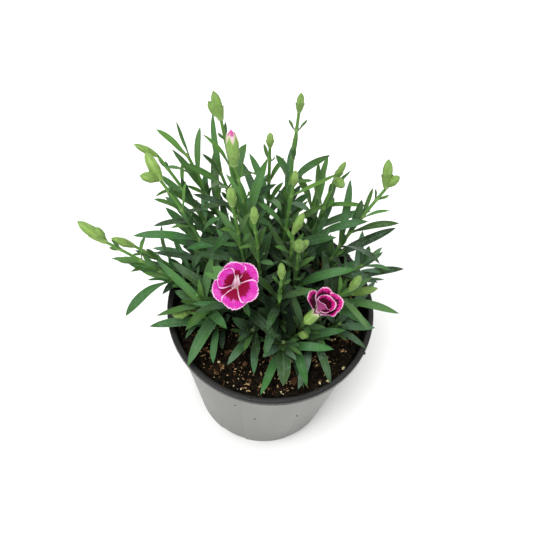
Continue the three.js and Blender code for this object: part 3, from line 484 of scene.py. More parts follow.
def grow_leaves(stems, room):
    """The leaves of every shoot, aimed ones first and then the others from the top of the plant down."""
    between = seeded(PLANT_SEED)
    turns = []
    for plan, stem in zip(SHOOTS, stems):
        drawn = between(0, math.pi / 2)
        turns.append(turn_towards(stem, plan, plan.aims[0]) if plan.aims else drawn)
    plans = []
    for i, own in enumerate(SHOOTS):
        row = []
        for level, (place, length, opening) in enumerate(own.pairs):
            for half in (0, 2):
                plan = SimpleNamespace(place=place, facet=(level + half) % 4, aimed=False)
                plan.swerve = between(-12, 12) * DEG
                plan.open = (opening + between(-8, 8)) * DEG
                plan.curl = (between(10, 46) if length > 12 else -8) * DEG
                plan.twist = between(-24, 24) * DEG
                plan.turning = LIGHT.turning
                plan.length = length * between(0.85, 1.12)
                plan.width = LEAF.width + length * between(*LEAF.widening)
                aimed = (aim_at(plan, aim, stems[i], turns[i]) for aim in own.aims if aim[0] == place)
                row.append(next((leaf for leaf in aimed if leaf), plan))
        plans.append(row)
    leaves = [[] for _ in SHOOTS]

    def grow(i, plan):
        leaf, points = place_leaf(plan, stems[i], turns[i], room, i)
        if leaf:
            leaves[i].append(leaf)
            room.put(points, ROOM.leaf, i, ROOM.own_leaf)

    for i, row in enumerate(plans):
        for plan in row:
            if plan.aimed:
                grow(i, plan)
    for k in range(max(map(len, plans))):
        for i, row in enumerate(plans):
            if k < len(row) and not row[k].aimed:
                grow(i, row[k])
    return turns, leaves


# ------------------------------------------------------------------ frames of buds and flowers
class Frame:
    """A place with three directions: z runs on along a bud or out through a flower's face."""

    def __init__(self, origin, z, lean=0):
        self.origin, self.z = origin, z
        self.x = unit(np.cross(vec(0, 1, lean), z))
        self.y = np.cross(z, self.x)

    def at(self, x, y, z):
        x, y, z = (np.asarray(value, float)[..., None] for value in (x, y, z))
        return self.origin + self.x * x + self.y * y + self.z * z

    def ring(self, radius, turn, z):
        return self.at(radius * np.cos(turn), radius * np.sin(turn), z)


def head_frame(stem, lean=0):
    return Frame(stem.at(1) + stem.end * HEAD_GAP, stem.end, lean)


def side_frame(f, turn, tilt):
    """A smaller bud's frame: it leaves the foot of the main one, turned and tilted away from it."""
    away = f.x * math.cos(turn * DEG) + f.y * math.sin(turn * DEG)
    z = unit(f.z * math.cos(tilt * DEG) + away * math.sin(tilt * DEG))
    return Frame(f.at(0, 0, SIDE_BUD.height) + z * SIDE_BUD.gap, z)


def turns_of(count):
    """Angles evenly spread round a circle."""
    return np.arange(count) * 2 * math.pi / count


# Points that keep leaves off the flowers' faces and off buds and calyces, which need spare room round them.
FACE_ROOM = SimpleNamespace(step=2.5, around=12, radius=2.2)
COLUMN_ROOM = SimpleNamespace(step=1.5, bud=1, side_bud=0.5, calyx=0.6)
ROUNDING_ERROR = 1e-9


def keep_heads_clear(stem, plan, room, owner):
    def column(f, length, radius):
        z = np.arange(0, length + ROUNDING_ERROR, COLUMN_ROOM.step)
        room.put(f.at(0, 0, z), radius, owner, radius)

    if plan.bud:
        f = head_frame(stem)
        column(f, plan.bud[0], plan.bud[1] + COLUMN_ROOM.bud)
        if plan.side:
            length, turn, tilt = plan.side
            column(side_frame(f, turn, tilt), length, length * SIDE_BUD.radius + COLUMN_ROOM.side_bud)
    if plan.flower:
        flower = FLOWERS[plan.flower]
        f = head_frame(stem, FLOWER_LEAN)
        length, radius = flower.calyx
        column(f, length, radius + COLUMN_ROOM.calyx)
        top, widening = flower.room
        for z in np.arange(0, top + ROUNDING_ERROR, FACE_ROOM.step):
            for r in np.arange(0, radius + widening * z + ROUNDING_ERROR, FACE_ROOM.step):
                circle = f.ring(r, turns_of(FACE_ROOM.around), length + z)
                room.put(circle, FACE_ROOM.radius, owner, FACE_ROOM.radius)


def grow_plant():
    stems = [Stem(plan) for plan in SHOOTS]
    room = Room()
    for i, stem in enumerate(stems):
        count = math.ceil(stem.length)
        room.put(stem.at(np.arange(count + 1) / count), ROOM.stem, i, ROOM.own_stem)
        keep_heads_clear(stem, SHOOTS[i], room, -1 - i)
    turns, leaves = grow_leaves(stems, room)
    return stems, turns, leaves, room


# ------------------------------------------------------------------ pieces made of closed skins
class Shape:
    """Closed skins of a piece in the making, in millimetres, with values of each kind at every point."""

    def __init__(self, *kinds):
        self.points, self.faces, self.materials = [], [], []
        self.values = {kind: [] for kind in kinds}
        self.count = 0

    def skin(self, points, material=0, **values):
        """Adds a closed skin through rings of points, with a face across the first ring and the last."""
        rows, columns = points.shape[:2]
        ids = self.count + np.arange(rows * columns).reshape(rows, columns)
        self.points.append(points.reshape(-1, 3))
        for kind, kept in self.values.items():
            kept.append(np.broadcast_to(values.get(kind, 0.0), (rows, columns)).ravel())
        low, high = ids[:-1], ids[1:]
        faces = np.stack([low, np.roll(low, -1, 1), np.roll(high, -1, 1), high], -1).reshape(-1, 4).tolist()
        faces += [ids[0][::-1].tolist(), ids[-1].tolist()]
        self.faces += faces
        self.materials += [material] * len(faces)
        self.count += rows * columns

    def finished(self, name, materials, nodes=(), sharp=60):
        """The piece as an object that rides on the pot's body and stands for its CAD nodes."""
        mesh = bpy.data.meshes.new(name)
        mesh.from_pydata((np.concatenate(self.points) * MM).tolist(), [], self.faces)
        mesh.polygons.foreach_set("material_index", self.materials)
        for kind, kept in self.values.items():
            attribute = mesh.attributes.new(kind, "FLOAT", "POINT")
            attribute.data.foreach_set("value", np.concatenate(kept).astype(np.float32))
        return dressed(mesh, name, materials, nodes, sharp)


# The values that points hold for the materials. On leaves and stems: the leaf's own tone, how young, the
# place from -1 to 1 across the blade, whether on its underside or on the stem, how pale, how deep inside the
# plant, which sets their painted shade, and how dull. On buds and calyces: the tone, the place around, how
# pale and how cream.
LEAF_VALUES = ("tone", "youth", "across", "under", "stem", "pale", "deep", "dull")
BUD_VALUES = ("tone", "around", "pale", "cream")


def placed(name, data):
    """A new object in the scene."""
    made = bpy.data.objects.new(name, data)
    bpy.context.scene.collection.objects.link(made)
    return made


def dressed(mesh, name, materials, nodes, sharp):
    """The mesh as an object that rides on the pot's body, with its materials, and with its CAD nodes, if any,
    hidden.
    """
    for material in materials:
        mesh.materials.append(material)
    mesh.shade_smooth()
    mesh.set_sharp_from_angle(angle=sharp * DEG)
    piece = placed(name, mesh)
    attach(piece, "root")
    if nodes:
        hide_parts(*nodes)
    return piece


def spline(x, knots):
    """A smooth curve through knots, each (x, y), read at x."""
    at, value = np.array(knots, float).T
    slope = np.gradient(value, at)
    i = np.clip(np.searchsorted(at, x, side="right") - 1, 0, len(at) - 2)
    step = at[i + 1] - at[i]
    t = (np.asarray(x, float) - at[i]) / step
    rise = (3 - 2 * t) * t * t
    return (
        value[i] * (1 - rise)
        + value[i + 1] * rise
        + step * (slope[i] * t * (1 - t) ** 2 - slope[i + 1] * t * t * (1 - t))
    )


def bell(x, width):
    return np.exp(-((x / width) ** 2))


def folded(upper, lower):
    """Each row across the one side and back along the other, as the rings of a thin skin."""
    upper, lower = np.broadcast_arrays(upper, lower)
    return np.concatenate([upper, lower[:, ::-1]], 1)


# ------------------------------------------------------------------ materials
def linear(code):
    """An sRGB colour code such as "3c6b45" as linear red, green, blue and alpha."""
    shares = [int(code[i:i + 2], 16) / 255 for i in (0, 2, 4)]
    return [s / 12.92 if s <= 0.04045 else ((s + 0.055) / 1.055) ** 2.4 for s in shares] + [1]


class Shader:
    """A material's node tree around one Principled shader."""

    def __init__(self, name, **settings):
        self.material = bpy.data.materials.new(name)
        self.material.use_nodes = True
        self.tree = self.material.node_tree
        self.surface = self.tree.nodes["Principled BSDF"]
        for socket, value in settings.items():
            self.surface.inputs[socket.replace("_", " ")].default_value = value

    def node(self, kind, inputs, **settings):
        made = self.tree.nodes.new("ShaderNode" + kind)
        for name, value in settings.items():
            setattr(made, name, value)
        for key, value in inputs.items():
            if isinstance(value, bpy.types.NodeSocket):
                self.tree.links.new(value, made.inputs[key])
            else:
                made.inputs[key].default_value = value
        return made

    def value(self, name):
        return self.node("Attribute", {}, attribute_name=name).outputs["Fac"]

    def place(self, stretch=(1, 1, 1)):
        where = self.node("TexCoord", {}).outputs["Object"]
        return self.node("Mapping", {"Vector": where, "Scale": stretch}).outputs["Vector"]

    def noise(self, per_metre, detail=3, where=None, roughness=0.55):
        inputs = {"Vector": where or self.place(), "Scale": per_metre, "Detail": detail}
        inputs["Roughness"] = roughness
        return self.node("TexNoise", inputs).outputs["Fac"]

    def math(self, operation, a, b=0.0, clamp=False):
        return self.node("Math", {0: a, 1: b}, operation=operation, use_clamp=clamp).outputs[0]

    def plus(self, a, b):
        return self.math("ADD", a, b)

    def part(self, a, b):
        return self.math("MULTIPLY", a, b)

    def between(self, value, low, high):
        """0 where the value is below low, 1 above high, and an even S between. low may be above high."""
        inputs = {"Value": value, "From Min": low, "From Max": high}
        return self.node("MapRange", inputs, interpolation_type="SMOOTHSTEP").outputs["Result"]

    def stripes(self, value, number):
        """Even stripes from 0 to 1, that many for each 2 of the value."""
        return self.plus(self.part(self.math("SINE", self.part(value, number * math.pi)), 0.5), 0.5)

    def blend(self, a, share, b):
        """So much of a, and the rest of b."""
        return self.plus(self.part(a, share), self.part(b, 1 - share))

    def mix(self, share, a, b):
        a, b = (linear(c) if isinstance(c, str) else c for c in (a, b))
        return self.node("Mix", {0: share, 6: a, 7: b}, data_type="RGBA").outputs[2]

    def layered(self, colour, *layers):
        """The colour under layers, each a mask, its greatest share and a colour."""
        for mask, share, layer in layers:
            colour = self.mix(self.part(mask, share), colour, layer)
        return colour

    def finish(self, colour, roughness=None, height=None, depth=0.0002):
        """Links the colour, and where given the roughness and a bump: its full height is depth, in metres."""
        self.tree.links.new(colour, self.surface.inputs["Base Color"])
        if roughness is not None:
            self.tree.links.new(roughness, self.surface.inputs["Roughness"])
        if height is not None:
            bump = self.node("Bump", {"Height": height, "Distance": depth})
            self.tree.links.new(bump.outputs["Normal"], self.surface.inputs["Normal"])
        return self.material


def leaf_material():
    """Leaf and stem: blue-green under a pale bloom, with a light midrib and fine veins along the blade, and
    with painted shade deep inside the plant.
    """
    s = Shader("leaf", Specular_IOR_Level=0.14)
    across, stem, youth = s.value("across"), s.value("stem"), s.value("youth")
    from_midrib, on_blade = s.math("ABSOLUTE", across), s.math("SUBTRACT", 1.0, stem)
    shade = s.math("ADD", s.value("tone"), s.part(s.noise(120), 0.35), clamp=True)
    bloom = s.part(s.between(s.noise(1100, 4), 0.4, 0.7), s.between(s.noise(110, 3), 0.37, 0.6))
    dull = s.part(s.value("dull"), s.between(s.noise(90, 3), 0.3, 0.6))
    veins = s.stripes(across, 9)
    colour = s.layered(
        s.mix(shade, "041a03", "366b33"),
        (youth, 1, "648f38"),
        (s.part(bloom, s.math("SUBTRACT", 1.0, youth)), 0.6, "6a8173"),
        (dull, 0.65, "687f70"),
        (veins, 0.1, "587a50"),
        (s.part(s.between(from_midrib, 0.16, 0.03), on_blade), 0.16, "73965f"),
        (s.part(s.between(from_midrib, 0.86, 1.0), on_blade), 0.22, "7b9b6c"),
        (s.value("under"), 0.25, "2c5230"),
        (stem, 0.45, "507a3a"),
        (s.value("pale"), 1, "93ae68"),
        # painted shade: leaves and stems deep inside the plant are darkened towards near black
        (s.value("deep"), 0.65, "031202"),
    )
    height = s.blend(veins, 0.5, s.noise(2500, 2))
    return s.finish(colour, s.plus(s.part(bloom, 0.2), 0.42), height, 0.00012)


def bud_material():
    """Bud and calyx: light green with fine ribs, pale seams and scale edges, and paler at the foot."""
    s = Shader("bud", Specular_IOR_Level=0.2)
    shade = s.math("ADD", s.value("tone"), s.part(s.noise(350), 0.5), clamp=True)
    streaks = s.part(s.stripes(s.value("around"), 9), s.between(s.noise(260, 2), 0.3, 0.6))
    ribs = s.stripes(s.value("around"), 24)
    bloom = s.between(s.noise(1100, 4), 0.5, 0.8)
    colour = s.layered(
        s.mix(shade, "436c22", "86a94f"),
        (streaks, 0.5, "3d6520"),
        (ribs, 0.34, "a3c074"),
        (s.value("pale"), 0.7, "b2c488"),
        (s.value("cream"), 0.95, "d2cbb0"),
        (bloom, 0.15, "98ac80"),
    )
    height = s.blend(ribs, 0.6, s.noise(2200, 2))
    return s.finish(colour, s.plus(s.part(bloom, 0.2), 0.36), height, 0.00012)


def petal_material(name, rim, blade, eye, eye_edge, back):
    """A petal: a dark ragged eye round the throat, a bright veined blade, and a pale toothed margin.
    Its points hold their shares of the way out and across, the distance to the edge, whether they lie on the
    underside, and a number of the petal's own.
    """
    s = Shader(name, Specular_IOR_Level=0.06)
    out, across, edge, under = s.value("out"), s.value("across"), s.value("edge"), s.value("under")
    veins = s.stripes(across, 13)
    grain = s.noise(700, 4)
    clouds = s.between(s.noise(330, 3), 0.45, 0.7)
    spread = s.node("CombineXYZ", {0: s.part(across, 6), 1: s.part(out, 1.5), 2: s.value("petal")}).outputs[0]
    rays = s.part(s.math("SUBTRACT", s.noise(1, 3, spread), 0.5), 0.5)
    reach = s.plus(s.plus(out, rays), s.part(s.part(across, across), 0.2))
    margin = s.between(s.plus(edge, s.part(grain, 0.3)), 0.95, 0.5)
    colour = s.layered(
        blade,
        (veins, 0.22, rim),
        (clouds, 0.45, rim),
        (s.between(reach, eye_edge + 0.07, eye_edge - 0.03), 1, eye),
        (under, 0.8, back),
        (s.part(under, veins), 0.45, blade),
        (margin, 0.85, "ebbcdb"),
        (s.between(out, 0.1, 0.02), 1, "b5a878"),
    )
    return s.finish(colour, None, s.blend(veins, 0.6, grain), 0.00015)


def flesh_material(name, per_metre, dark, light, pale=None, **settings):
    """A small smooth part of a flower, which may fade to a paler colour by its pale value."""
    s = Shader(name, **settings)
    grain = s.noise(per_metre)
    colour = s.mix(grain, dark, light)
    if pale:
        colour = s.mix(s.value("pale"), colour, pale)
    return s.finish(colour, None, grain, 0.0001)


def pot_material():
    """The pot's outer layer: light grey plastic with faint flow marks, scuffs and specks of soil."""
    s = Shader("pot_wall", Specular_IOR_Level=0.45)
    clouds = s.noise(28, 4)
    flow = s.noise(60, 3, s.place((1, 1, 0.08)))
    dust = s.between(s.noise(700, 5, roughness=0.7), 0.66, 0.74)
    colour = s.layered(
        s.mix(s.between(clouds, 0.3, 0.7), "696a64", "71726c"),
        (s.between(flow, 0.45, 0.7), 0.3, "81827e"),
        (dust, 0.35, "544d44"),
    )
    height = s.blend(flow, 0.6, s.noise(3000, 2))
    return s.finish(colour, s.plus(s.part(clouds, 0.2), 0.36), height, 0.0001)


def lining_material():
    """The pot's inner layer, which shows inside and on the lip: black plastic, dusty from the soil."""
    s = Shader("pot_lining", Specular_IOR_Level=0.22)
    dust = s.between(s.noise(420, 5, roughness=0.7), 0.5, 0.78)
    colour = s.layered(s.mix(s.noise(90, 4), "111110", "1a1a19"), (dust, 0.22, "3f3b35"))
    return s.finish(colour, s.plus(s.part(dust, 0.3), 0.34), s.noise(1800, 3), 0.00012)


def soil_material():
    """Moist peat: nearly black with brown crumbs and a few threads of lighter fibre."""
    s = Shader("soil", Specular_IOR_Level=0.06, Roughness=0.9)
    lumps = s.between(s.noise(240, 6, roughness=0.65), 0.35, 0.7)
    colour = s.layered(
        s.mix(lumps, "060503", "19130b"),
        (s.between(s.noise(500, 3, s.place((1, 0.2, 1))), 0.62, 0.7), 0.5, "6b5133"),
        (s.between(s.noise(300, 3), 0.66, 0.74), 0.4, "39441f"),
    )
    return s.finish(colour, None, s.noise(1500, 6), 0.0006)


def crumb_material(name, dark, light):
    """Loose bits of one kind: each bit has its own tone."""
    s = Shader(name, Specular_IOR_Level=0.1, Roughness=0.85)
    grain = s.noise(400, 4)
    shade = s.math("ADD", s.part(s.value("tone"), 0.75), s.part(grain, 0.35), clamp=True)
    return s.finish(s.mix(shade, dark, light), None, grain, 0.0003)


def floor_material():
    s = Shader("floor", Roughness=0.9, Specular_IOR_Level=0.1)
    return s.finish(s.mix(s.noise(30), "f4f4f3", "f7f7f6"))


# ------------------------------------------------------------------ leafy stems
BLADE = SimpleNamespace(
    row=2.2, rows=(7, 20), columns=7, sink=0.03, middle=0.42, edge=0.2, channel=0.15, wrap=0.5, wrapped=0.07,
    keel=0.12, groove=0.1, rib=0.35, wave=0.22, waves=7, wavy_from=0.3, lowered=0.1, tip=0.07, pale=0.45,
)


# The plant's middle, low over the soil, where leaves and stems get painted shade: its centre and reach, the
# shares of the reach where depth is full and gone, and how much darker and less young they are painted there.
SHADED_MIDDLE = SimpleNamespace(y=5, reach=(62, 58, 105), full=0.25, gone=0.85, darker=0.8, shade_on_youth=0.7)


def shade_depth(points):
    """How deep points lie inside the plant: 0 at its outside and 1 in its middle, which sets how much
    painted shade they get.
    """
    x, y, z = np.moveaxis(points, -1, 0)
    height = np.maximum(z - SOIL.top, 0)
    wide, thick, high = SHADED_MIDDLE.reach
    share = np.sqrt((x / wide) ** 2 + ((y - SHADED_MIDDLE.y) / thick) ** 2 + (height / high) ** 2)
    return 1 - smooth(share, SHADED_MIDDLE.full, SHADED_MIDDLE.gone)


def inside(points, tone, youth):
    """Painted shade: the values that make leaves and stems darker and less bright in the middle of the plant.
    """
    deep = shade_depth(points)
    return dict(deep=deep, tone=tone - SHADED_MIDDLE.darker * deep, youth=youth * (1 - SHADED_MIDDLE.shade_on_youth * deep))


def add_blade(shape, leaf, tone, youth, phase, dull=0.0):
    """A leaf: channelled, keeled under its midrib, wrapped round the stem at its foot and gently waved.
    phase shifts its waves, and with dull it may be greyer.
    """
    rows = int(np.clip(leaf.length / BLADE.row, *BLADE.rows))
    t = np.linspace(-BLADE.sink, 1, rows)
    at, side, normal = midrib(leaf, t)
    half = np.maximum(leaf.width / 2 * leaf_width(t), BLADE.tip)[:, None]
    s = np.linspace(-1, 1, BLADE.columns)[None]
    across = folded(s, s)
    channel = (BLADE.channel + BLADE.wrap * bell(t, BLADE.wrapped))[:, None]
    rib = bell(s * half, BLADE.rib)
    slim = np.minimum(1, half)
    wave = BLADE.wave * np.sin(BLADE.waves * t + phase) * smooth(t, 0, BLADE.wavy_from)
    top = channel * half * s**2 - BLADE.groove * rib * slim - BLADE.lowered + wave[:, None]
    thick = BLADE.edge + (BLADE.middle - BLADE.edge) * (1 - s**2) + BLADE.keel * rib
    under = top - thick * slim
    sideways = side[:, None] * (half * across)[..., None]
    points = at[:, None] + sideways + normal[:, None] * folded(under, top)[..., None]
    is_under = np.repeat([1.0, 0.0], BLADE.columns)
    pale = BLADE.pale * bell(np.maximum(t, 0), BLADE.wrapped)[:, None]
    dull = dull * (0.5 + 0.5 * math.sin(phase))
    shape.skin(points, across=across, under=is_under, pale=pale, dull=dull, **inside(points, tone, youth))


# sunk is how far a stem reaches into the foot of its bud or calyx. across, under, pale and tone are looks.
STALK = SimpleNamespace(
    sides=10, step=1.5, swelling=0.34, swollen=1.1, sunk=1.0, across=0.5, under=0.2, pale=0.5, tone=0.5,
)


def add_stalk(shape, plan, stem, youth_at):
    """The stem itself: round, tapered and swollen at its nodes."""
    places = [pair[0] for pair in plan.pairs]
    s = np.linspace(0, 1, math.ceil(stem.length / STALK.step))
    s = np.unique(np.concatenate([s, places]))
    nodes = sum(bell((s - place) * stem.length, STALK.swollen) for place in places)
    radius = STEM.radius + (STEM.tip_radius - STEM.radius) * s + STALK.swelling * nodes
    turn = turns_of(STALK.sides)
    one, two = stem.across(s)
    one[-1] = unit(np.cross(vec(1, 0, 0), stem.end))
    two[-1] = np.cross(stem.end, one[-1])
    ring = one[:, None] * np.cos(turn)[None, :, None] + two[:, None] * np.sin(turn)[None, :, None]
    points = stem.at(s)[:, None] + ring * radius[:, None, None]
    foot = points[:1] + (stem.foot - stem.start)
    points = np.concatenate([foot, points])
    nodes, s = np.concatenate([[0], nodes]), np.concatenate([[0], s])
    if plan.bud or plan.flower:
        points = np.concatenate([points, points[-1:] + stem.end * STALK.sunk])
        nodes, s = np.concatenate([nodes, [0]]), np.concatenate([s, [1]])
    values = inside(points, STALK.tone, youth_at(s)[:, None])
    pale = STALK.pale * nodes[:, None]
    shape.skin(points, across=STALK.across, stem=1, under=STALK.under, pale=pale, **values)


# Small leaves in the axils of the others: their number, sizes in millimetres and angles in degrees.
TUFT = SimpleNamespace(
    seed=4711, each=3, highest=0.72, length=(8, 19), width=0.9, widening=(0.1, 0.15), open=(12, 44),
    swerve=(12, 50), curl=(6, 34), twist=30, room=0.5, own_room=0.6, spare=0.4,
)


def grow_tufts(stems, turns, room):
    """Small leaves in the axils of the grown ones, where there is room for them."""
    between = seeded(TUFT.seed)
    tufts = [[] for _ in SHOOTS]
    for i, own in enumerate(SHOOTS):
        for level, (place, _, _) in enumerate(own.pairs):
            for half in (0, 2):
                for k in range(TUFT.each):
                    plan = SimpleNamespace(place=place, facet=(level + half) % 4)
                    plan.swerve = between(*TUFT.swerve) * (DEG if k % 2 else -DEG)
                    plan.open = between(*TUFT.open) * DEG
                    plan.curl = between(*TUFT.curl) * DEG
                    plan.twist = between(-TUFT.twist, TUFT.twist) * DEG
                    plan.turning = LIGHT.turning
                    plan.length = between(*TUFT.length)
                    plan.width = TUFT.width + plan.length * between(*TUFT.widening)
                    if place > TUFT.highest and own.pairs is not ROSETTE:
                        continue
                    leaf, points = place_leaf(plan, stems[i], turns[i], room, i, TUFT.spare)
                    if leaf:
                        tufts[i].append(leaf)
                        room.put(points, TUFT.room, i, TUFT.own_room)
    return tufts


# How bright and young each kind of shoot is: at its foot, how much more at its tip, and the shares of its
# length between which that grows. Those with a bud turn light green towards it.
YOUTH = {"budding": (0.1, 0.75, 0.45, 0.85), "rosette": (0.08, 0.3, 0.7, 1), "young": (0.18, 0.6, 0.35, 1)}
# How dull the old leaves of rosettes and those of other shoots are.
DULL = SimpleNamespace(rosette=1.0, other=0.25)
WAVE_PHASES = 6  # leaves and petals wave by a random phase up to this
# Random looks: grown leaves are mostly dark and about as young as their shoot, and tuft leaves are fresh.
GROWN = SimpleNamespace(
    darkest=-0.2, lighter=1.25, mostly_dark=1.4, youth=0.7, youth_least=0.7, youth_more=0.6,
)
FRESH = SimpleNamespace(tone=0.6, youth_least=0.2, youth_more=0.4)


def youth_of(plan):
    """A function that gives how young a shoot looks along its stem."""
    kind = "budding" if plan.bud or plan.flower else "rosette" if plan.pairs is ROSETTE else "young"
    foot, gain, start, end = YOUTH[kind]
    return lambda s: foot + gain * smooth(s, start, end)


def add_leafy_stem(plan, stem, leaves, tufts, material, random):
    shape = Shape(*LEAF_VALUES)
    youth_at = youth_of(plan)
    dull = DULL.rosette if plan.pairs is ROSETTE else DULL.other
    add_stalk(shape, plan, stem, youth_at)
    for leaf in leaves:
        tone = GROWN.lighter * random() ** GROWN.mostly_dark + GROWN.darkest
        youth = float(youth_at(leaf.place)) * GROWN.youth * (GROWN.youth_least + GROWN.youth_more * random())
        add_blade(shape, leaf, tone, youth, WAVE_PHASES * random(), dull)
    for leaf in tufts:
        youth = FRESH.youth_least + FRESH.youth_more * random()
        add_blade(shape, leaf, FRESH.tone * random(), youth, WAVE_PHASES * random(), dull)
    node = "leafy_stem_" + plan.name
    return shape.finished("fine_" + node, [material], [node])


# Bracts under the open flower: angle about its axis, angle from it, length and width.
BRACTS = [(149, 76, 15, 7), (166, 70, 17.5, 3.8), (108, 72, 14.2, 3.6)]
BRACT = SimpleNamespace(curl=14, tone=1.5, youth=0.35)


def add_bracts(f, material):
    shape = Shape(*LEAF_VALUES)
    for angle, opening, length, width in BRACTS:
        outwards = f.x * math.cos(angle * DEG) + f.y * math.sin(angle * DEG)
        bract = SimpleNamespace(base=f.origin + outwards, along=f.z, outwards=outwards)
        bract.length, bract.width = length, width
        bract.open, bract.curl, bract.twist = opening * DEG, BRACT.curl * DEG, 0
        add_blade(shape, bract, BRACT.tone, BRACT.youth, angle)
    return shape.finished("flower_open_bracts", [material])


# ------------------------------------------------------------------ buds
BUD_PROFILE = [(0, 0.42), (0.16, 0.68), (0.4, 0.94), (0.62, 1), (0.85, 0.66), (1, 0.04)]
BUD = SimpleNamespace(
    rows=26, around=40, slim=0.92, seam=0.12, seam_width=0.1, seams_from=0.4, spiral=0.35, lip=0.09,
    lip_width=0.03, pale=0.7, pale_foot=0.16, tone=(0.2, 0.6), seam_darker=0.9,
)
TEETH = 5  # of every calyx
SCALE = SimpleNamespace(rows=12, columns=9, thickness=0.2, spread=82, hug=0.94, sunk=0.12)
# Scales round the foot of each kind: angle about its axis, height of the tip and how far that stands off.
SCALES = {
    "bud": [(90, 0.6, 0.03), (270, 0.56, 0.05), (0, 0.48, 0.12), (180, 0.46, 0.12)],
    "opening": [(90, 0.3, 0.05), (270, 0.28, 0.05), (0, 0.34, 0.05), (180, 0.34, 0.05)],
    "calyx": [(90, 0.42, 0.08), (270, 0.4, 0.08), (0, 0.34, 0.08), (180, 0.34, 0.08)],
}
DARKER = 0.8  # the tone of scales and side buds, as a share of the bud's
OPENING_BUD = "02"
OPENING = SimpleNamespace(teeth_from=0.66, teeth_to=0.9, skin=0.3, petals_from=0.54, fold_from=0.74, gap=0.35)


def teeth_at(around):
    """How high the teeth of a calyx stand: 1 at their tips and 0 between them."""
    return 1 - np.abs(2 * (around * TEETH % 1) - 1)


def add_bud_body(shape, f, length, radius, tone):
    """A closed calyx: five pointed teeth that meet in shallow, slightly twisted seams towards the tip."""
    h = np.linspace(0, 1, BUD.rows)[:, None]
    around = np.arange(BUD.around) / BUD.around
    phase = (around * TEETH + BUD.spiral * h) % 1
    from_seam = np.minimum(phase, 1 - phase)
    seam = bell(from_seam, BUD.seam_width) * smooth(h, BUD.seams_from, 0.75)
    r = radius * BUD.slim * spline(h, BUD_PROFILE) * (1 - BUD.seam * seam)
    lips = bell(from_seam - BUD.lip, BUD.lip_width) * smooth(h, BUD.seams_from + 0.05, 0.75)
    pale = BUD.pale * np.maximum(lips, bell(h, BUD.pale_foot))
    points = f.ring(r, around * 2 * math.pi, length * h)
    shape.skin(points, tone=tone - BUD.seam_darker * seam, around=2 * around, pale=pale)


def add_scale(shape, f, length, radius, centre, tip, stand_off, tone):
    """A scale that hugs the lower part of a bud or calyx and ends in a point that stands out a little."""
    u = np.linspace(0, 1, SCALE.rows)[:, None]
    v = np.linspace(-1, 1, SCALE.columns)[None]
    half_angle = SCALE.spread * DEG * np.maximum(1 - u**2.4, 0) ** 0.8 + 0.02
    h = tip * u
    hug = radius * spline(h, BUD_PROFILE) * (SCALE.hug + stand_off * u**2) + 0.1
    r = folded(hug + SCALE.thickness * (1 - v**4), hug - SCALE.sunk)
    v = folded(v, v)
    pale = np.maximum(0.6 * smooth(np.abs(v), 0.75, 1), 0.5 * bell(u, 0.2))
    points = f.ring(r, centre * DEG + v * half_angle, length * h)
    shape.skin(points, tone=tone, around=0.8 * v, pale=pale)


def add_scales(shape, kind, f, length, radius, tone):
    for centre, tip, stand_off in SCALES[kind]:
        add_scale(shape, f, length, radius, centre, tip, stand_off, tone * DARKER)


def add_bud(shape, f, length, radius, tone):
    add_bud_body(shape, f, length, radius, tone)
    add_scales(shape, "bud", f, length, radius, tone)


def add_opening_bud(shape, f, length, radius, tone):
    """A calyx whose teeth have parted over the furled petals."""
    h = np.linspace(0, 1, BUD.rows)[:, None]
    around = np.arange(BUD.around) / BUD.around
    top = OPENING.teeth_from + (OPENING.teeth_to - OPENING.teeth_from) * teeth_at(around)
    outside, inwards = h * top, np.linspace(1, 0.8, 4)[:, None] * top
    rows = np.concatenate([outside, inwards])
    skin = np.concatenate([0 * outside, OPENING.skin + 0 * inwards])
    r = radius * BUD.slim * spline(rows, BUD_PROFILE) - skin
    points = f.ring(r, around * 2 * math.pi, length * rows)
    cream = smooth(rows / top, 0.86, 1) * smooth(rows, 0.5, 0.7)
    shape.skin(points, tone=tone, around=2 * around, pale=0.8 * bell(rows, 0.2), cream=cream)
    add_scales(shape, "opening", f, length, radius, tone)


def add_furled_petals(shape, f, length, radius):
    """The tips of the petals, rolled round each other in a cone that stands out of the opening bud."""
    h = np.linspace(OPENING.petals_from, 1, 16)[:, None]
    turn = turns_of(BUD.around)
    fold = 1 + 0.1 * np.sin(4 * turn + 9 * h) * smooth(h, OPENING.fold_from, 0.9)
    r = (radius * BUD.slim * spline(h, BUD_PROFILE) - OPENING.gap).clip(0.15) * fold
    points = f.ring(r, turn, length * (h - 0.015))
    shape.skin(points, material=1, pale=1 - smooth(h, 0.8, 0.86))


def add_bud_piece(plan, stem, materials, random):
    shape = Shape(*BUD_VALUES)
    f = head_frame(stem)
    tone = BUD.tone[0] + BUD.tone[1] * random()
    if plan.name == OPENING_BUD:
        add_opening_bud(shape, f, *plan.bud, tone)
        add_furled_petals(shape, f, *plan.bud)
    else:
        add_bud(shape, f, *plan.bud, tone)
    if plan.side:
        length, turn, tilt = plan.side
        add_bud(shape, side_frame(f, turn, tilt), length, length * SIDE_BUD.radius, tone * DARKER)
    node = "bud_" + plan.name
    return shape.finished("fine_" + node, materials, [node])


# ------------------------------------------------------------------ flowers
PETAL_MESH = SimpleNamespace(rows=28, columns=45, teeth=9, tooth=0.85, middle=0.34, edge=0.16)


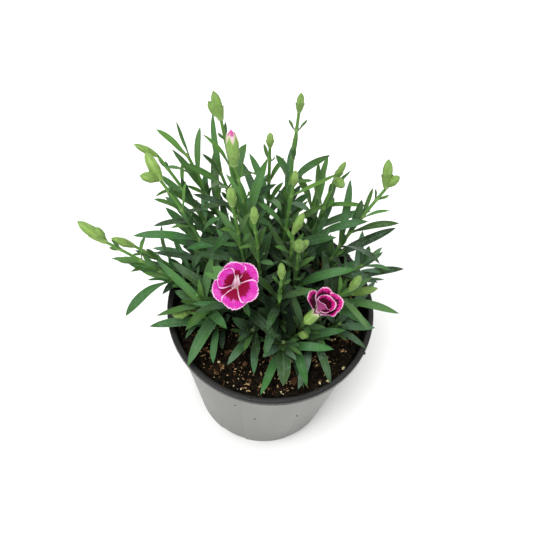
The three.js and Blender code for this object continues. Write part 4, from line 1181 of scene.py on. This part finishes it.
def petal_points(f, flower, petal, u, v, tooth, drop):
    """Points of a petal, and its half width: u runs from foot to toothed edge, and v from side to side."""
    degrees, layer, share, rise = petal
    angle = degrees * DEG
    length, width = flower.petal[0] * share, flower.petal[1] * (1 + share) / 2
    radial = f.x * math.cos(angle) + f.y * math.sin(angle)
    across = f.y * math.cos(angle) - f.x * math.sin(angle)
    bend = flower.bend * DEG
    start = math.pi / 2 - rise * DEG
    swing = length / bend
    reach = u * (1 - PETAL.rounding * v * v * u) + tooth / length
    turn = start + bend * reach
    out = PETAL.root_out + swing * (np.sin(turn) - math.sin(start))
    up = flower.calyx[0] + PETAL.root_up + swing * (math.cos(start) - np.cos(turn))
    half = width / 2 * (0.09 + 0.91 * np.sin(math.pi / 2 * np.minimum(1, 1.25 * u)))
    lift = (layer - 1) * PETAL.layer + flower.cup * half * v * v - drop
    out, up = out - lift * np.sin(turn), up + lift * np.cos(turn)
    points = f.origin + radial * out[..., None] + f.z * up[..., None] + across * (v * half)[..., None]
    return points, half


def add_petal(shape, f, flower, petal, phase):
    u = np.linspace(0, 1, PETAL_MESH.rows)[:, None]
    v = np.linspace(-1, 1, PETAL_MESH.columns)[None]
    scallops = np.abs(np.sin(PETAL_MESH.teeth * math.pi / 2 * (v + 0.08 * np.sin(5 * v + phase))))
    depth = PETAL_MESH.tooth * (0.75 + 0.25 * np.sin(4 * v + 2 * phase))
    tooth = depth * (scallops - 0.6) * smooth(u, 0.75, 1)
    ruffle = flower.ruffle * np.sin(6 * v + phase) * u**2
    ridge = 0.06 * bell(v, 0.1) * (1 - u)
    top = 0.1 - ruffle - ridge
    thick = PETAL_MESH.edge + (PETAL_MESH.middle - PETAL_MESH.edge) * (1 - v * v) * (1 - u**3)
    upper, half = petal_points(f, flower, petal, u, v, tooth, top)
    lower, _ = petal_points(f, flower, petal, u, v, tooth, top + thick)
    v = folded(v, v)
    edge = np.minimum(flower.petal[0] * (1 - u), (1 - np.abs(v)) * half)
    is_under = np.repeat([1.0, 0.0], PETAL_MESH.columns)
    shape.skin(folded(lower, upper), out=u, across=v, edge=edge, under=is_under, petal=phase)


def add_petals(name, flower, f, material, random):
    shape = Shape("out", "across", "edge", "under", "petal")
    for petal in [*flower.petals, *flower.inner]:
        add_petal(shape, f, flower, petal, WAVE_PHASES * random())
    node = f"flower_{name}_petals"
    return shape.finished("fine_" + node, [material], [node])


CALYX = SimpleNamespace(rows=24, inner_rows=6, around=40, short=0.8, teeth=2.5, skin=0.3)
CALYX_PROFILE = [(0, 0.4), (0.14, 0.85), (0.45, 1), (0.8, 0.95), (1, 1)]


def add_calyx(name, flower, f, material, random):
    """A flower's calyx: a ribbed tube that opens in five teeth, with four scales round its foot."""
    shape = Shape(*BUD_VALUES)
    length, radius = flower.calyx
    tone = 0.3 + 0.4 * random()
    around = np.arange(CALYX.around) / CALYX.around
    tooth = teeth_at(around) ** 0.8
    top = length - CALYX.short + CALYX.teeth * tooth
    rows = np.concatenate([np.linspace(0, 1, CALYX.rows), np.linspace(0.99, 0.6, CALYX.inner_rows)])[:, None]
    skin = np.repeat([0.0, CALYX.skin], [CALYX.rows, CALYX.inner_rows])[:, None]
    r = radius * spline(rows, CALYX_PROFILE) - skin
    points = f.ring(r, around * 2 * math.pi, top * rows)
    cream = smooth(rows, 0.72, 1) * (0.4 + 0.6 * tooth)
    shape.skin(points, tone=tone, around=2 * around, pale=0.7 * bell(rows, 0.12), cream=cream)
    add_scales(shape, "calyx", f, length, radius, tone)
    node = f"flower_{name}_calyx"
    return shape.finished("fine_" + node, [material], [node])


def add_ribbon(shape, line, side, widths, fold, thickness, **values):
    """A folded ribbon along a line of points: side is the direction across it at every point."""
    s = np.linspace(-1, 1, 7)[None]
    normal = np.cross(unit(np.gradient(line, axis=0)), side)
    half = widths[:, None] / 2
    top = fold * half * (1 - np.abs(s))
    height, across = folded(top - thickness, top), folded(s, s)
    points = line[:, None] + side[:, None] * (half * across)[..., None] + normal[:, None] * height[..., None]
    shape.skin(points, **values)


# The throat inside the petals: radius and height above the calyx.
THROAT = [(0.2, -6), (0.9, -5.6), (1.2, -1), (1.5, 0.5), (1.1, 0.7), (0.7, -0.2), (0.15, -0.6)]
# The open flower's two pale petal-like styles and two fine threads, seen from the calyx's top in its frame:
# foot and tip, and a style's width at its foot.
STYLES = [((-1.1, -2.0, 0.6), (-0.45, 5.0, 5.0), 2.8), ((1.2, -2.0, 0.6), (0.5, 5.2, 5.1), 3.0)]
THREADS = [((0.2, -1.0, 0.4), (-1.6, -2.4, 1.4)), ((0.5, -1.0, 0.4), (2.3, -0.4, 1.8))]
STYLE = SimpleNamespace(
    arch=0.9, taper=1.4, least_width=0.12, turned=0.12, fold=0.55, thickness=0.22, pale=0.8,
)
THREAD = SimpleNamespace(arch=0.6, width=0.4, fold=0.5, thickness=0.15, pale=0.2)
HEART_MESH = SimpleNamespace(around=24, rows=14)


def strand_line(f, height, foot, tip, arch, steps):
    """A line that arches from foot to tip, in a flower's frame and at a height along its axis."""
    foot, tip = np.array(foot), np.array(tip)
    x, y, z = (foot + (tip - foot) * steps + vec(0, 0, arch) * np.sin(math.pi * steps)).T
    return f.at(x, y, height + z)


def add_heart(name, flower, f, materials):
    """The throat inside the petals, and on the open flower its styles and threads, of the second material."""
    shape = Shape("pale")
    is_open = name == "open"
    length, _ = flower.calyx
    r, z = np.array(THROAT)[..., None].swapaxes(0, 1)
    shape.skin(f.ring(r, turns_of(HEART_MESH.around), length + z), material=0 if is_open else 1)
    steps = np.linspace(0, 1, HEART_MESH.rows)[:, None]
    for foot, tip, width in STYLES if is_open else []:
        line = strand_line(f, length, foot, tip, STYLE.arch, steps)
        side = np.broadcast_to(unit(f.x + STYLE.turned * f.y), line.shape)
        widths = np.maximum(width * (1 - steps[:, 0] ** STYLE.taper), STYLE.least_width)
        pale = STYLE.pale * steps
        add_ribbon(shape, line, side, widths, STYLE.fold, STYLE.thickness, material=1, pale=pale)
    for foot, tip in THREADS if is_open else []:
        line = strand_line(f, length, foot, tip, THREAD.arch, steps)
        side = np.broadcast_to(unit(np.cross(f.z, line[-1] - line[0])), line.shape)
        widths = np.full(len(steps), THREAD.width)
        add_ribbon(shape, line, side, widths, THREAD.fold, THREAD.thickness, material=1, pale=THREAD.pale)
    return shape.finished(f"flower_{name}_heart", materials)


# ------------------------------------------------------------------ pot
POT_MESH = SimpleNamespace(around=180, edge=0.9)


def as_mesh(made, name):
    mesh = bpy.data.meshes.new(name)
    made.to_mesh(mesh)
    made.free()
    return mesh


def lathe(name, profile):
    """A closed mesh turned about the pot's axis. The profile starts and ends on the axis."""
    made = bmesh.new()
    around, turn = POT_MESH.around, turns_of(POT_MESH.around)
    rings = []
    for r, z in profile:
        if r == 0:
            rings.append([made.verts.new((0, 0, z * MM))])
        else:
            rings.append([made.verts.new((r * MM * math.cos(a), r * MM * math.sin(a), z * MM)) for a in turn])
    for low, high in zip(rings, rings[1:]):
        for j in range(around):
            k = (j + 1) % around
            corners = [low[j % len(low)], low[k % len(low)], high[k % len(high)], high[j % len(high)]]
            made.faces.new(list(dict.fromkeys(corners)))
    return as_mesh(made, name)


def block(turn, radial, across, low, high, centre):
    """A box between two heights, turned about the pot's axis, with its middle so far from the axis."""
    made = bmesh.new()
    bmesh.ops.create_cube(made, size=1)
    size = Matrix.Diagonal((radial * MM, across * MM, (high - low) * MM, 1))
    place = Matrix.Rotation(turn, 4, "Z") @ Matrix.Translation((centre * MM, 0, (low + high) / 2 * MM))
    made.transform(place @ size)
    return as_mesh(made, "block")


def cut(mesh, cutters):
    """The mesh without what each of the cutters takes away."""
    body = placed("cut_body", mesh)
    tools = bpy.data.collections.new("cutters")
    bpy.context.scene.collection.children.link(tools)
    for cutter in cutters:
        tools.objects.link(bpy.data.objects.new("cutter", cutter))
    modifier = body.modifiers.new("cut", "BOOLEAN")
    modifier.operand_type, modifier.collection = "COLLECTION", tools
    modifier.operation, modifier.solver = "DIFFERENCE", "EXACT"
    bpy.context.view_layer.update()
    cut_mesh = bpy.data.meshes.new_from_object(body.evaluated_get(bpy.context.evaluated_depsgraph_get()))
    for made in [body, *tools.objects]:
        bpy.data.objects.remove(made)
    bpy.data.collections.remove(tools)
    return cut_mesh


def arc(centre, radius, start, end, steps):
    """Points (r, z) along a corner's arc, angles in degrees from the r axis."""
    angles = np.radians(np.linspace(start, end, steps))
    return [(centre[0] + radius * math.cos(a), centre[1] + radius * math.sin(a)) for a in angles]


def pot_outline():
    """The pot without its cavity: foot, wall, the underside of the lip, its skirt and its rounded edge."""
    under_lip = POT.height - POT.lip_skin - 0.6
    edge, skirt = POT_MESH.edge, POT.height - POT.lip_drop
    return [
        (0, 0),
        *arc((POT.foot_radius - 0.6, 0.6), 0.6, -90, -6, 4),
        (POT_INSIDE + POT.wall, under_lip),
        (POT.rim_radius - POT.lip_skin, under_lip),
        (POT.rim_radius - POT.lip_skin, skirt + 0.2),
        *arc((POT.rim_radius - 0.5, skirt + 0.5), 0.5, -120, 0, 5),
        *arc((POT.rim_radius - edge, POT.height - edge), edge, 0, 90, 6),
        (0, POT.height),
    ]


def pot_cavity():
    """The pot's inside, which widens above the rounded inner edge of the lip."""
    rounding = 0.8
    return [
        (0, POT.floor),
        (POT.foot_radius - POT.wall, POT.floor),
        (POT_INSIDE, POT.height - rounding),
        *arc((POT_INSIDE + rounding, POT.height - rounding), rounding, 180, 90, 6),
        (POT_INSIDE + rounding, POT.height + 1),
        (0, POT.height + 1),
    ]


def is_wall(face):
    """Whether a face of the pot belongs to its outer layer: the wall's outside and the underside."""
    x, y, z = face.center
    r, z = math.hypot(x, y) / MM, z / MM
    wall_middle = POT.foot_radius + (POT_INSIDE - POT.foot_radius) * z / POT.height + POT.wall / 2
    below_lip = z < POT.height - 2
    is_outer = z < 0.1 or (r > wall_middle - POT.wall and face.normal.z < 0.05 and below_lip)
    faces_out = face.normal.x * x + face.normal.y * y >= 0
    return is_outer and faces_out and r <= POT_INSIDE + POT.wall + 0.2


def add_pot(wall, lining):
    """The pot, with room for the notches' walls left in its cavity, and with notches and slots cut out."""
    cavity_blocks, cutters = [], []
    for i in range(NOTCH.count):
        turn = (NOTCH.first_angle + 360 / NOTCH.count * i) * DEG
        edge = POT.foot_radius - NOTCH.depth / 2 + 1
        deep, wide = NOTCH.depth + 2 * POT.wall + 2, NOTCH.width + 2 * POT.wall
        cavity_blocks.append(block(turn, deep, wide, 0, NOTCH.height + POT.floor, edge))
        cutters.append(block(turn, NOTCH.depth + 2, NOTCH.width, -1, NOTCH.height, edge))
        slot_top = NOTCH.height + POT.floor + 1
        cutters.append(block(turn, SLOT.radial, SLOT.across, NOTCH.height - 1, slot_top, SLOT.radius))
    cavity = cut(lathe("cavity", pot_cavity()), cavity_blocks)
    mesh = cut(cut(lathe("pot", pot_outline()), [cavity]), cutters)
    mesh.materials.clear()
    for face in mesh.polygons:
        face.material_index = 0 if is_wall(face) else 1
    return dressed(mesh, "nursery_pot", [wall, lining], ["pot"], sharp=35)


# ------------------------------------------------------------------ soil and what lies in it
SOIL_MESH = SimpleNamespace(
    rings=70, around=220, lump=0.9, lumps_per_mm=0.16, roughness=(0.7, 2, 4), grain=0.35, grains_per_mm=1.1,
)


def soil_surface(x, y):
    """The soil's height with its lumps and grains."""
    where = Vector((x, y, 0))
    lumps = noise.fractal(where * SOIL_MESH.lumps_per_mm, *SOIL_MESH.roughness) * SOIL_MESH.lump
    grains = noise.noise(where * SOIL_MESH.grains_per_mm) * SOIL_MESH.grain
    return soil_height(x, y) + lumps + grains


def inner_wall(z):
    """The largest radius that the soil may have at a height."""
    foot = POT.foot_radius - POT.wall
    return foot + (POT_INSIDE - foot) * (z - POT.floor) / (POT.height - 0.6 - POT.floor) - SOIL.gap


def add_soil(material):
    """The soil as one solid: its lumpy top, and plain sides and underside inside the pot."""
    shape = Shape()
    turn = turns_of(SOIL_MESH.around)
    circle = np.stack([np.cos(turn), np.sin(turn)], -1)
    low = NOTCH.height + POT.floor + SOIL.gap
    edge = inner_wall(SOIL.top - 2)
    rings = [np.concatenate([circle * inner_wall(low), np.full((len(turn), 1), low)], 1)]
    for i in range(SOIL_MESH.rings):
        ring = circle * edge * (1 - i / SOIL_MESH.rings)
        heights = [[soil_surface(x, y)] for x, y in ring]
        rings.append(np.concatenate([ring, heights], 1))
    shape.skin(np.array(rings))
    return shape.finished("potting_soil", [material], ["soil"], sharp=180)


LUMP = SimpleNamespace(rows=5, around=6, open=0.15, least=0.75, uneven=0.5)


def lump_points(random):
    """An uneven ball of radius about 1 as rings of points."""
    tilt = np.linspace(LUMP.open, math.pi - LUMP.open, LUMP.rows)[:, None]
    turn = turns_of(LUMP.around)
    r = LUMP.least + LUMP.uneven * random.random((LUMP.rows, LUMP.around))
    return np.stack([r * np.sin(tilt) * np.cos(turn), r * np.sin(tilt) * np.sin(turn), -r * np.cos(tilt)], -1)


def on_soil(random, from_wall):
    """A random place on the soil, evenly spread, at least so far from the pot's wall."""
    r = math.sqrt((inner_wall(SOIL.top) - from_wall) ** 2 * random.random())
    turn = 2 * math.pi * random.random()
    x, y = r * math.cos(turn), r * math.sin(turn)
    return vec(x, y, soil_surface(x, y))


def turned_about(random, tilt):
    """A random turn about the vertical after a random tilt, as a 3 by 3 matrix."""
    lean = Matrix.Rotation(tilt * (2 * random.random() - 1), 3, "X")
    return np.array(Matrix.Rotation(2 * math.pi * random.random(), 3, "Z") @ lean)


def add_lumps(name, count, sizes, flatness, raised, material, random):
    """Loose grains that lie half sunk in the soil, their middles raised by a share of their height."""
    shape = Shape("tone")
    smallest, largest = sizes
    for _ in range(count):
        at = on_soil(random, 1.5)
        size = smallest + (largest - smallest) * random.random() ** 2
        stretch = vec(1 + 0.5 * random.random(), 1, flatness) * size / 2
        points = lump_points(random) * stretch @ turned_about(random, 0.6).T
        at[2] += stretch[2] * raised
        shape.skin(points + at, tone=random.random())
    return shape.finished(name, [material], sharp=40)


def add_fibres(name, count, lengths, widths, material, random):
    """Bent threads and slivers of wood that lie on the soil."""
    shape = Shape("tone")
    steps = np.linspace(-0.5, 0.5, 6)
    (shortest, longest), (narrowest, widest) = lengths, widths
    for _ in range(count):
        at = on_soil(random, 4)
        length = shortest + (longest - shortest) * random.random() ** 1.5
        width = narrowest + (widest - narrowest) * random.random()
        bend = length * 0.25 * (random.random() - 0.5)
        turn = turned_about(random, 0.25)
        line = np.stack([length * steps, bend * np.cos(math.pi * steps), 0 * steps], -1) @ turn.T
        side = np.broadcast_to(turn[:, 1], line.shape)
        taper = width * (1 - 0.6 * np.abs(2 * steps) ** 2)
        line = line + at + vec(0, 0, 0.25 + 0.3 * random.random())
        add_ribbon(shape, line, side, taper, 0.3, 0.25, tone=random.random())
    return shape.finished(name, [material], sharp=40)


# Crumbs on the pot: angle about its axis, height and size.
POT_CRUMBS = [
    (-106, 78, 0.9), (-93, 58, 1.1), (-64, 57, 1.0), (-118, 92, 0.7), (-22, 103, 1.8), (-19, 105, 1.2),
    (40, 64, 1.0), (121, 83, 0.9), (200, 70, 1.1), (-96, 105, 1.1), (84, 105, 0.9), (160, 105, 1.2),
]


def outside_of_pot(z):
    """How far from the axis a crumb sits that sticks to the wall, to the lip's skirt or on top of the lip."""
    if z >= POT.height:
        return POT.rim_radius - 1.6
    if z > POT.height - POT.lip_drop:
        return POT.rim_radius - 0.1
    flare = POT_INSIDE + POT.wall - POT.foot_radius
    return POT.foot_radius + flare * z / (POT.height - POT.lip_skin - 0.6)


def add_pot_crumbs(material, random):
    """A few crumbs of soil that stick to the pot's lip and wall."""
    shape = Shape("tone")
    for turn, z, size in POT_CRUMBS:
        r = outside_of_pot(z)
        at = vec(r * math.cos(turn * DEG), r * math.sin(turn * DEG), z)
        points = lump_points(random) * size / 2 @ turned_about(random, 1).T
        shape.skin(points + at, tone=0.3 * random.random())
    return shape.finished("stray_crumbs", [material], sharp=40)


# ------------------------------------------------------------------ camera, light and floor
# The camera that was fitted to the pot in the photo: millimetres, degrees, and focal in pixels of the photo.
CAMERA = SimpleNamespace(
    target=(-4.888, 27.309, 105), distance=652.44, elevation=59.23, roll=5.773, focal=1100,
)
SENSOR = 36


def add_camera():
    data = bpy.data.cameras.new("camera")
    data.sensor_width = SENSOR
    data.lens = SENSOR * CAMERA.focal / IMAGE_SIZE
    lift, roll = CAMERA.elevation * DEG, CAMERA.roll * DEG
    back = vec(0, -math.cos(lift), math.sin(lift))
    level_up = vec(0, math.sin(lift), math.cos(lift))
    right = math.cos(roll) * vec(1, 0, 0) + math.sin(roll) * level_up
    up = np.cross(back, right)
    place = vec(*CAMERA.target) + back * CAMERA.distance
    camera = placed("camera", data)
    rows = [[*axes, at * MM] for *axes, at in zip(right, up, back, place)]
    camera.matrix_world = Matrix([*rows, [0, 0, 0, 1]])
    bpy.context.scene.camera = camera


# Soft lights: where each comes from, how wide it is in degrees, and its strength.
LIGHTS = [
    ("key", (-0.3, -0.36, 1.2), 36, 3.1),
    ("top", (0.15, 0.3, 1.3), 48, 1.5),
    ("front_left", (-0.9, -0.9, 0.7), 30, 0.3),
    ("back_right", (0.9, 0.7, 0.8), 34, 0.35),
]
# The surroundings are pale near the horizon and dim overhead, and change between two heights.
SURROUNDINGS = SimpleNamespace(horizon=1.0, overhead=0.04, low=0.2, high=0.45)
FLOOR_SIZE = 12


def add_lights():
    for name, source, width, strength in LIGHTS:
        data = bpy.data.lights.new(name, "SUN")
        data.angle, data.energy = width * DEG, strength
        placed(name, data).rotation_euler = Vector(source).to_track_quat("Z", "Y").to_euler()
    world = bpy.data.worlds.new("studio")
    world.use_nodes = True
    tree = world.node_tree
    split = tree.nodes.new("ShaderNodeSeparateXYZ")
    fade = tree.nodes.new("ShaderNodeMapRange")
    tree.links.new(tree.nodes.new("ShaderNodeTexCoord").outputs["Generated"], split.inputs["Vector"])
    tree.links.new(split.outputs["Z"], fade.inputs["Value"])
    fade.inputs["From Min"].default_value = SURROUNDINGS.low
    fade.inputs["From Max"].default_value = SURROUNDINGS.high
    fade.inputs["To Min"].default_value = SURROUNDINGS.horizon
    fade.inputs["To Max"].default_value = SURROUNDINGS.overhead
    background = tree.nodes["Background"]
    tree.links.new(fade.outputs["Result"], background.inputs["Strength"])
    background.inputs["Color"].default_value = (1, 1, 1, 1)
    bpy.context.scene.world = world
    bpy.context.scene.view_settings.view_transform = "Standard"


def add_floor():
    mesh = bpy.data.meshes.new("floor")
    half = FLOOR_SIZE / 2
    corners = [(-half, -half, 0), (half, -half, 0), (half, half, 0), (-half, half, 0)]
    mesh.from_pydata(corners, [], [(0, 1, 2, 3)])
    mesh.materials.append(floor_material())
    placed("floor", mesh)


# ------------------------------------------------------------------ everything together
LOOSE_SEED = 7


def add_loose_bits(random):
    """What lies on the soil and sticks to the pot."""
    crumb = crumb_material("peat_crumbs", "050402", "1f180e")
    bark = crumb_material("bark_chips", "24180e", "5f4229")
    grit = crumb_material("pale_grit", "8a7443", "e0d3a6")
    wood = crumb_material("wood_fibres", "44301d", "b8966a")
    add_lumps("peat_crumbs", 2600, (0.8, 3.4), 0.8, 0.4, crumb, random)
    add_lumps("bark_chips", 130, (2.0, 5.0), 0.3, 0.6, bark, random)
    add_lumps("pale_grit", 300, (0.5, 2.0), 0.7, 0.5, grit, random)
    add_fibres("wood_fibres", 620, (1.2, 4.5), (0.3, 1.0), wood, random)
    add_pot_crumbs(crumb, random)


def add_plant(random):
    """Every stem with its leaves and bud, and then both flowers."""
    stems, turns, leaves, room = grow_plant()
    tufts = grow_tufts(stems, turns, room)
    leaf, bud = leaf_material(), bud_material()
    furled = flesh_material(
        "furled_petals", 1200, "a81c78", "cb5fa5", "d8bfc6", Roughness=0.5, Specular_IOR_Level=0.35
    )
    for i, plan in enumerate(SHOOTS):
        add_leafy_stem(plan, stems[i], leaves[i], tufts[i], leaf, random)
        if plan.bud:
            add_bud_piece(plan, stems[i], [bud, furled], random)
    petals = {
        "open": petal_material("open_petals", "cd69b8", "b51691", "7c0a30", 0.6, "b97aa6"),
        "half": petal_material("half_petals", "c64193", "b00d6c", "3c051d", 0.8, "b55c90"),
    }
    throat = flesh_material("throat", 1500, "5c5a22", "8e8b3e", Roughness=0.5)
    style = flesh_material("style", 900, "c585a8", "d9abc4", "e3cfd8", Roughness=0.45, Specular_IOR_Level=0.4)
    for plan, stem in zip(SHOOTS, stems):
        if plan.flower:
            flower = FLOWERS[plan.flower]
            f = head_frame(stem, FLOWER_LEAN)
            add_calyx(plan.flower, flower, f, bud, random)
            add_petals(plan.flower, flower, f, petals[plan.flower], random)
            add_heart(plan.flower, flower, f, [throat, style])
            if plan.flower == "open":
                add_bracts(f, leaf)


def build():
    add_camera()
    add_lights()
    add_floor()
    add_pot(pot_material(), lining_material())
    add_soil(soil_material())
    random = np.random.default_rng(LOOSE_SEED)
    add_loose_bits(random)
    add_plant(random.random)


build()
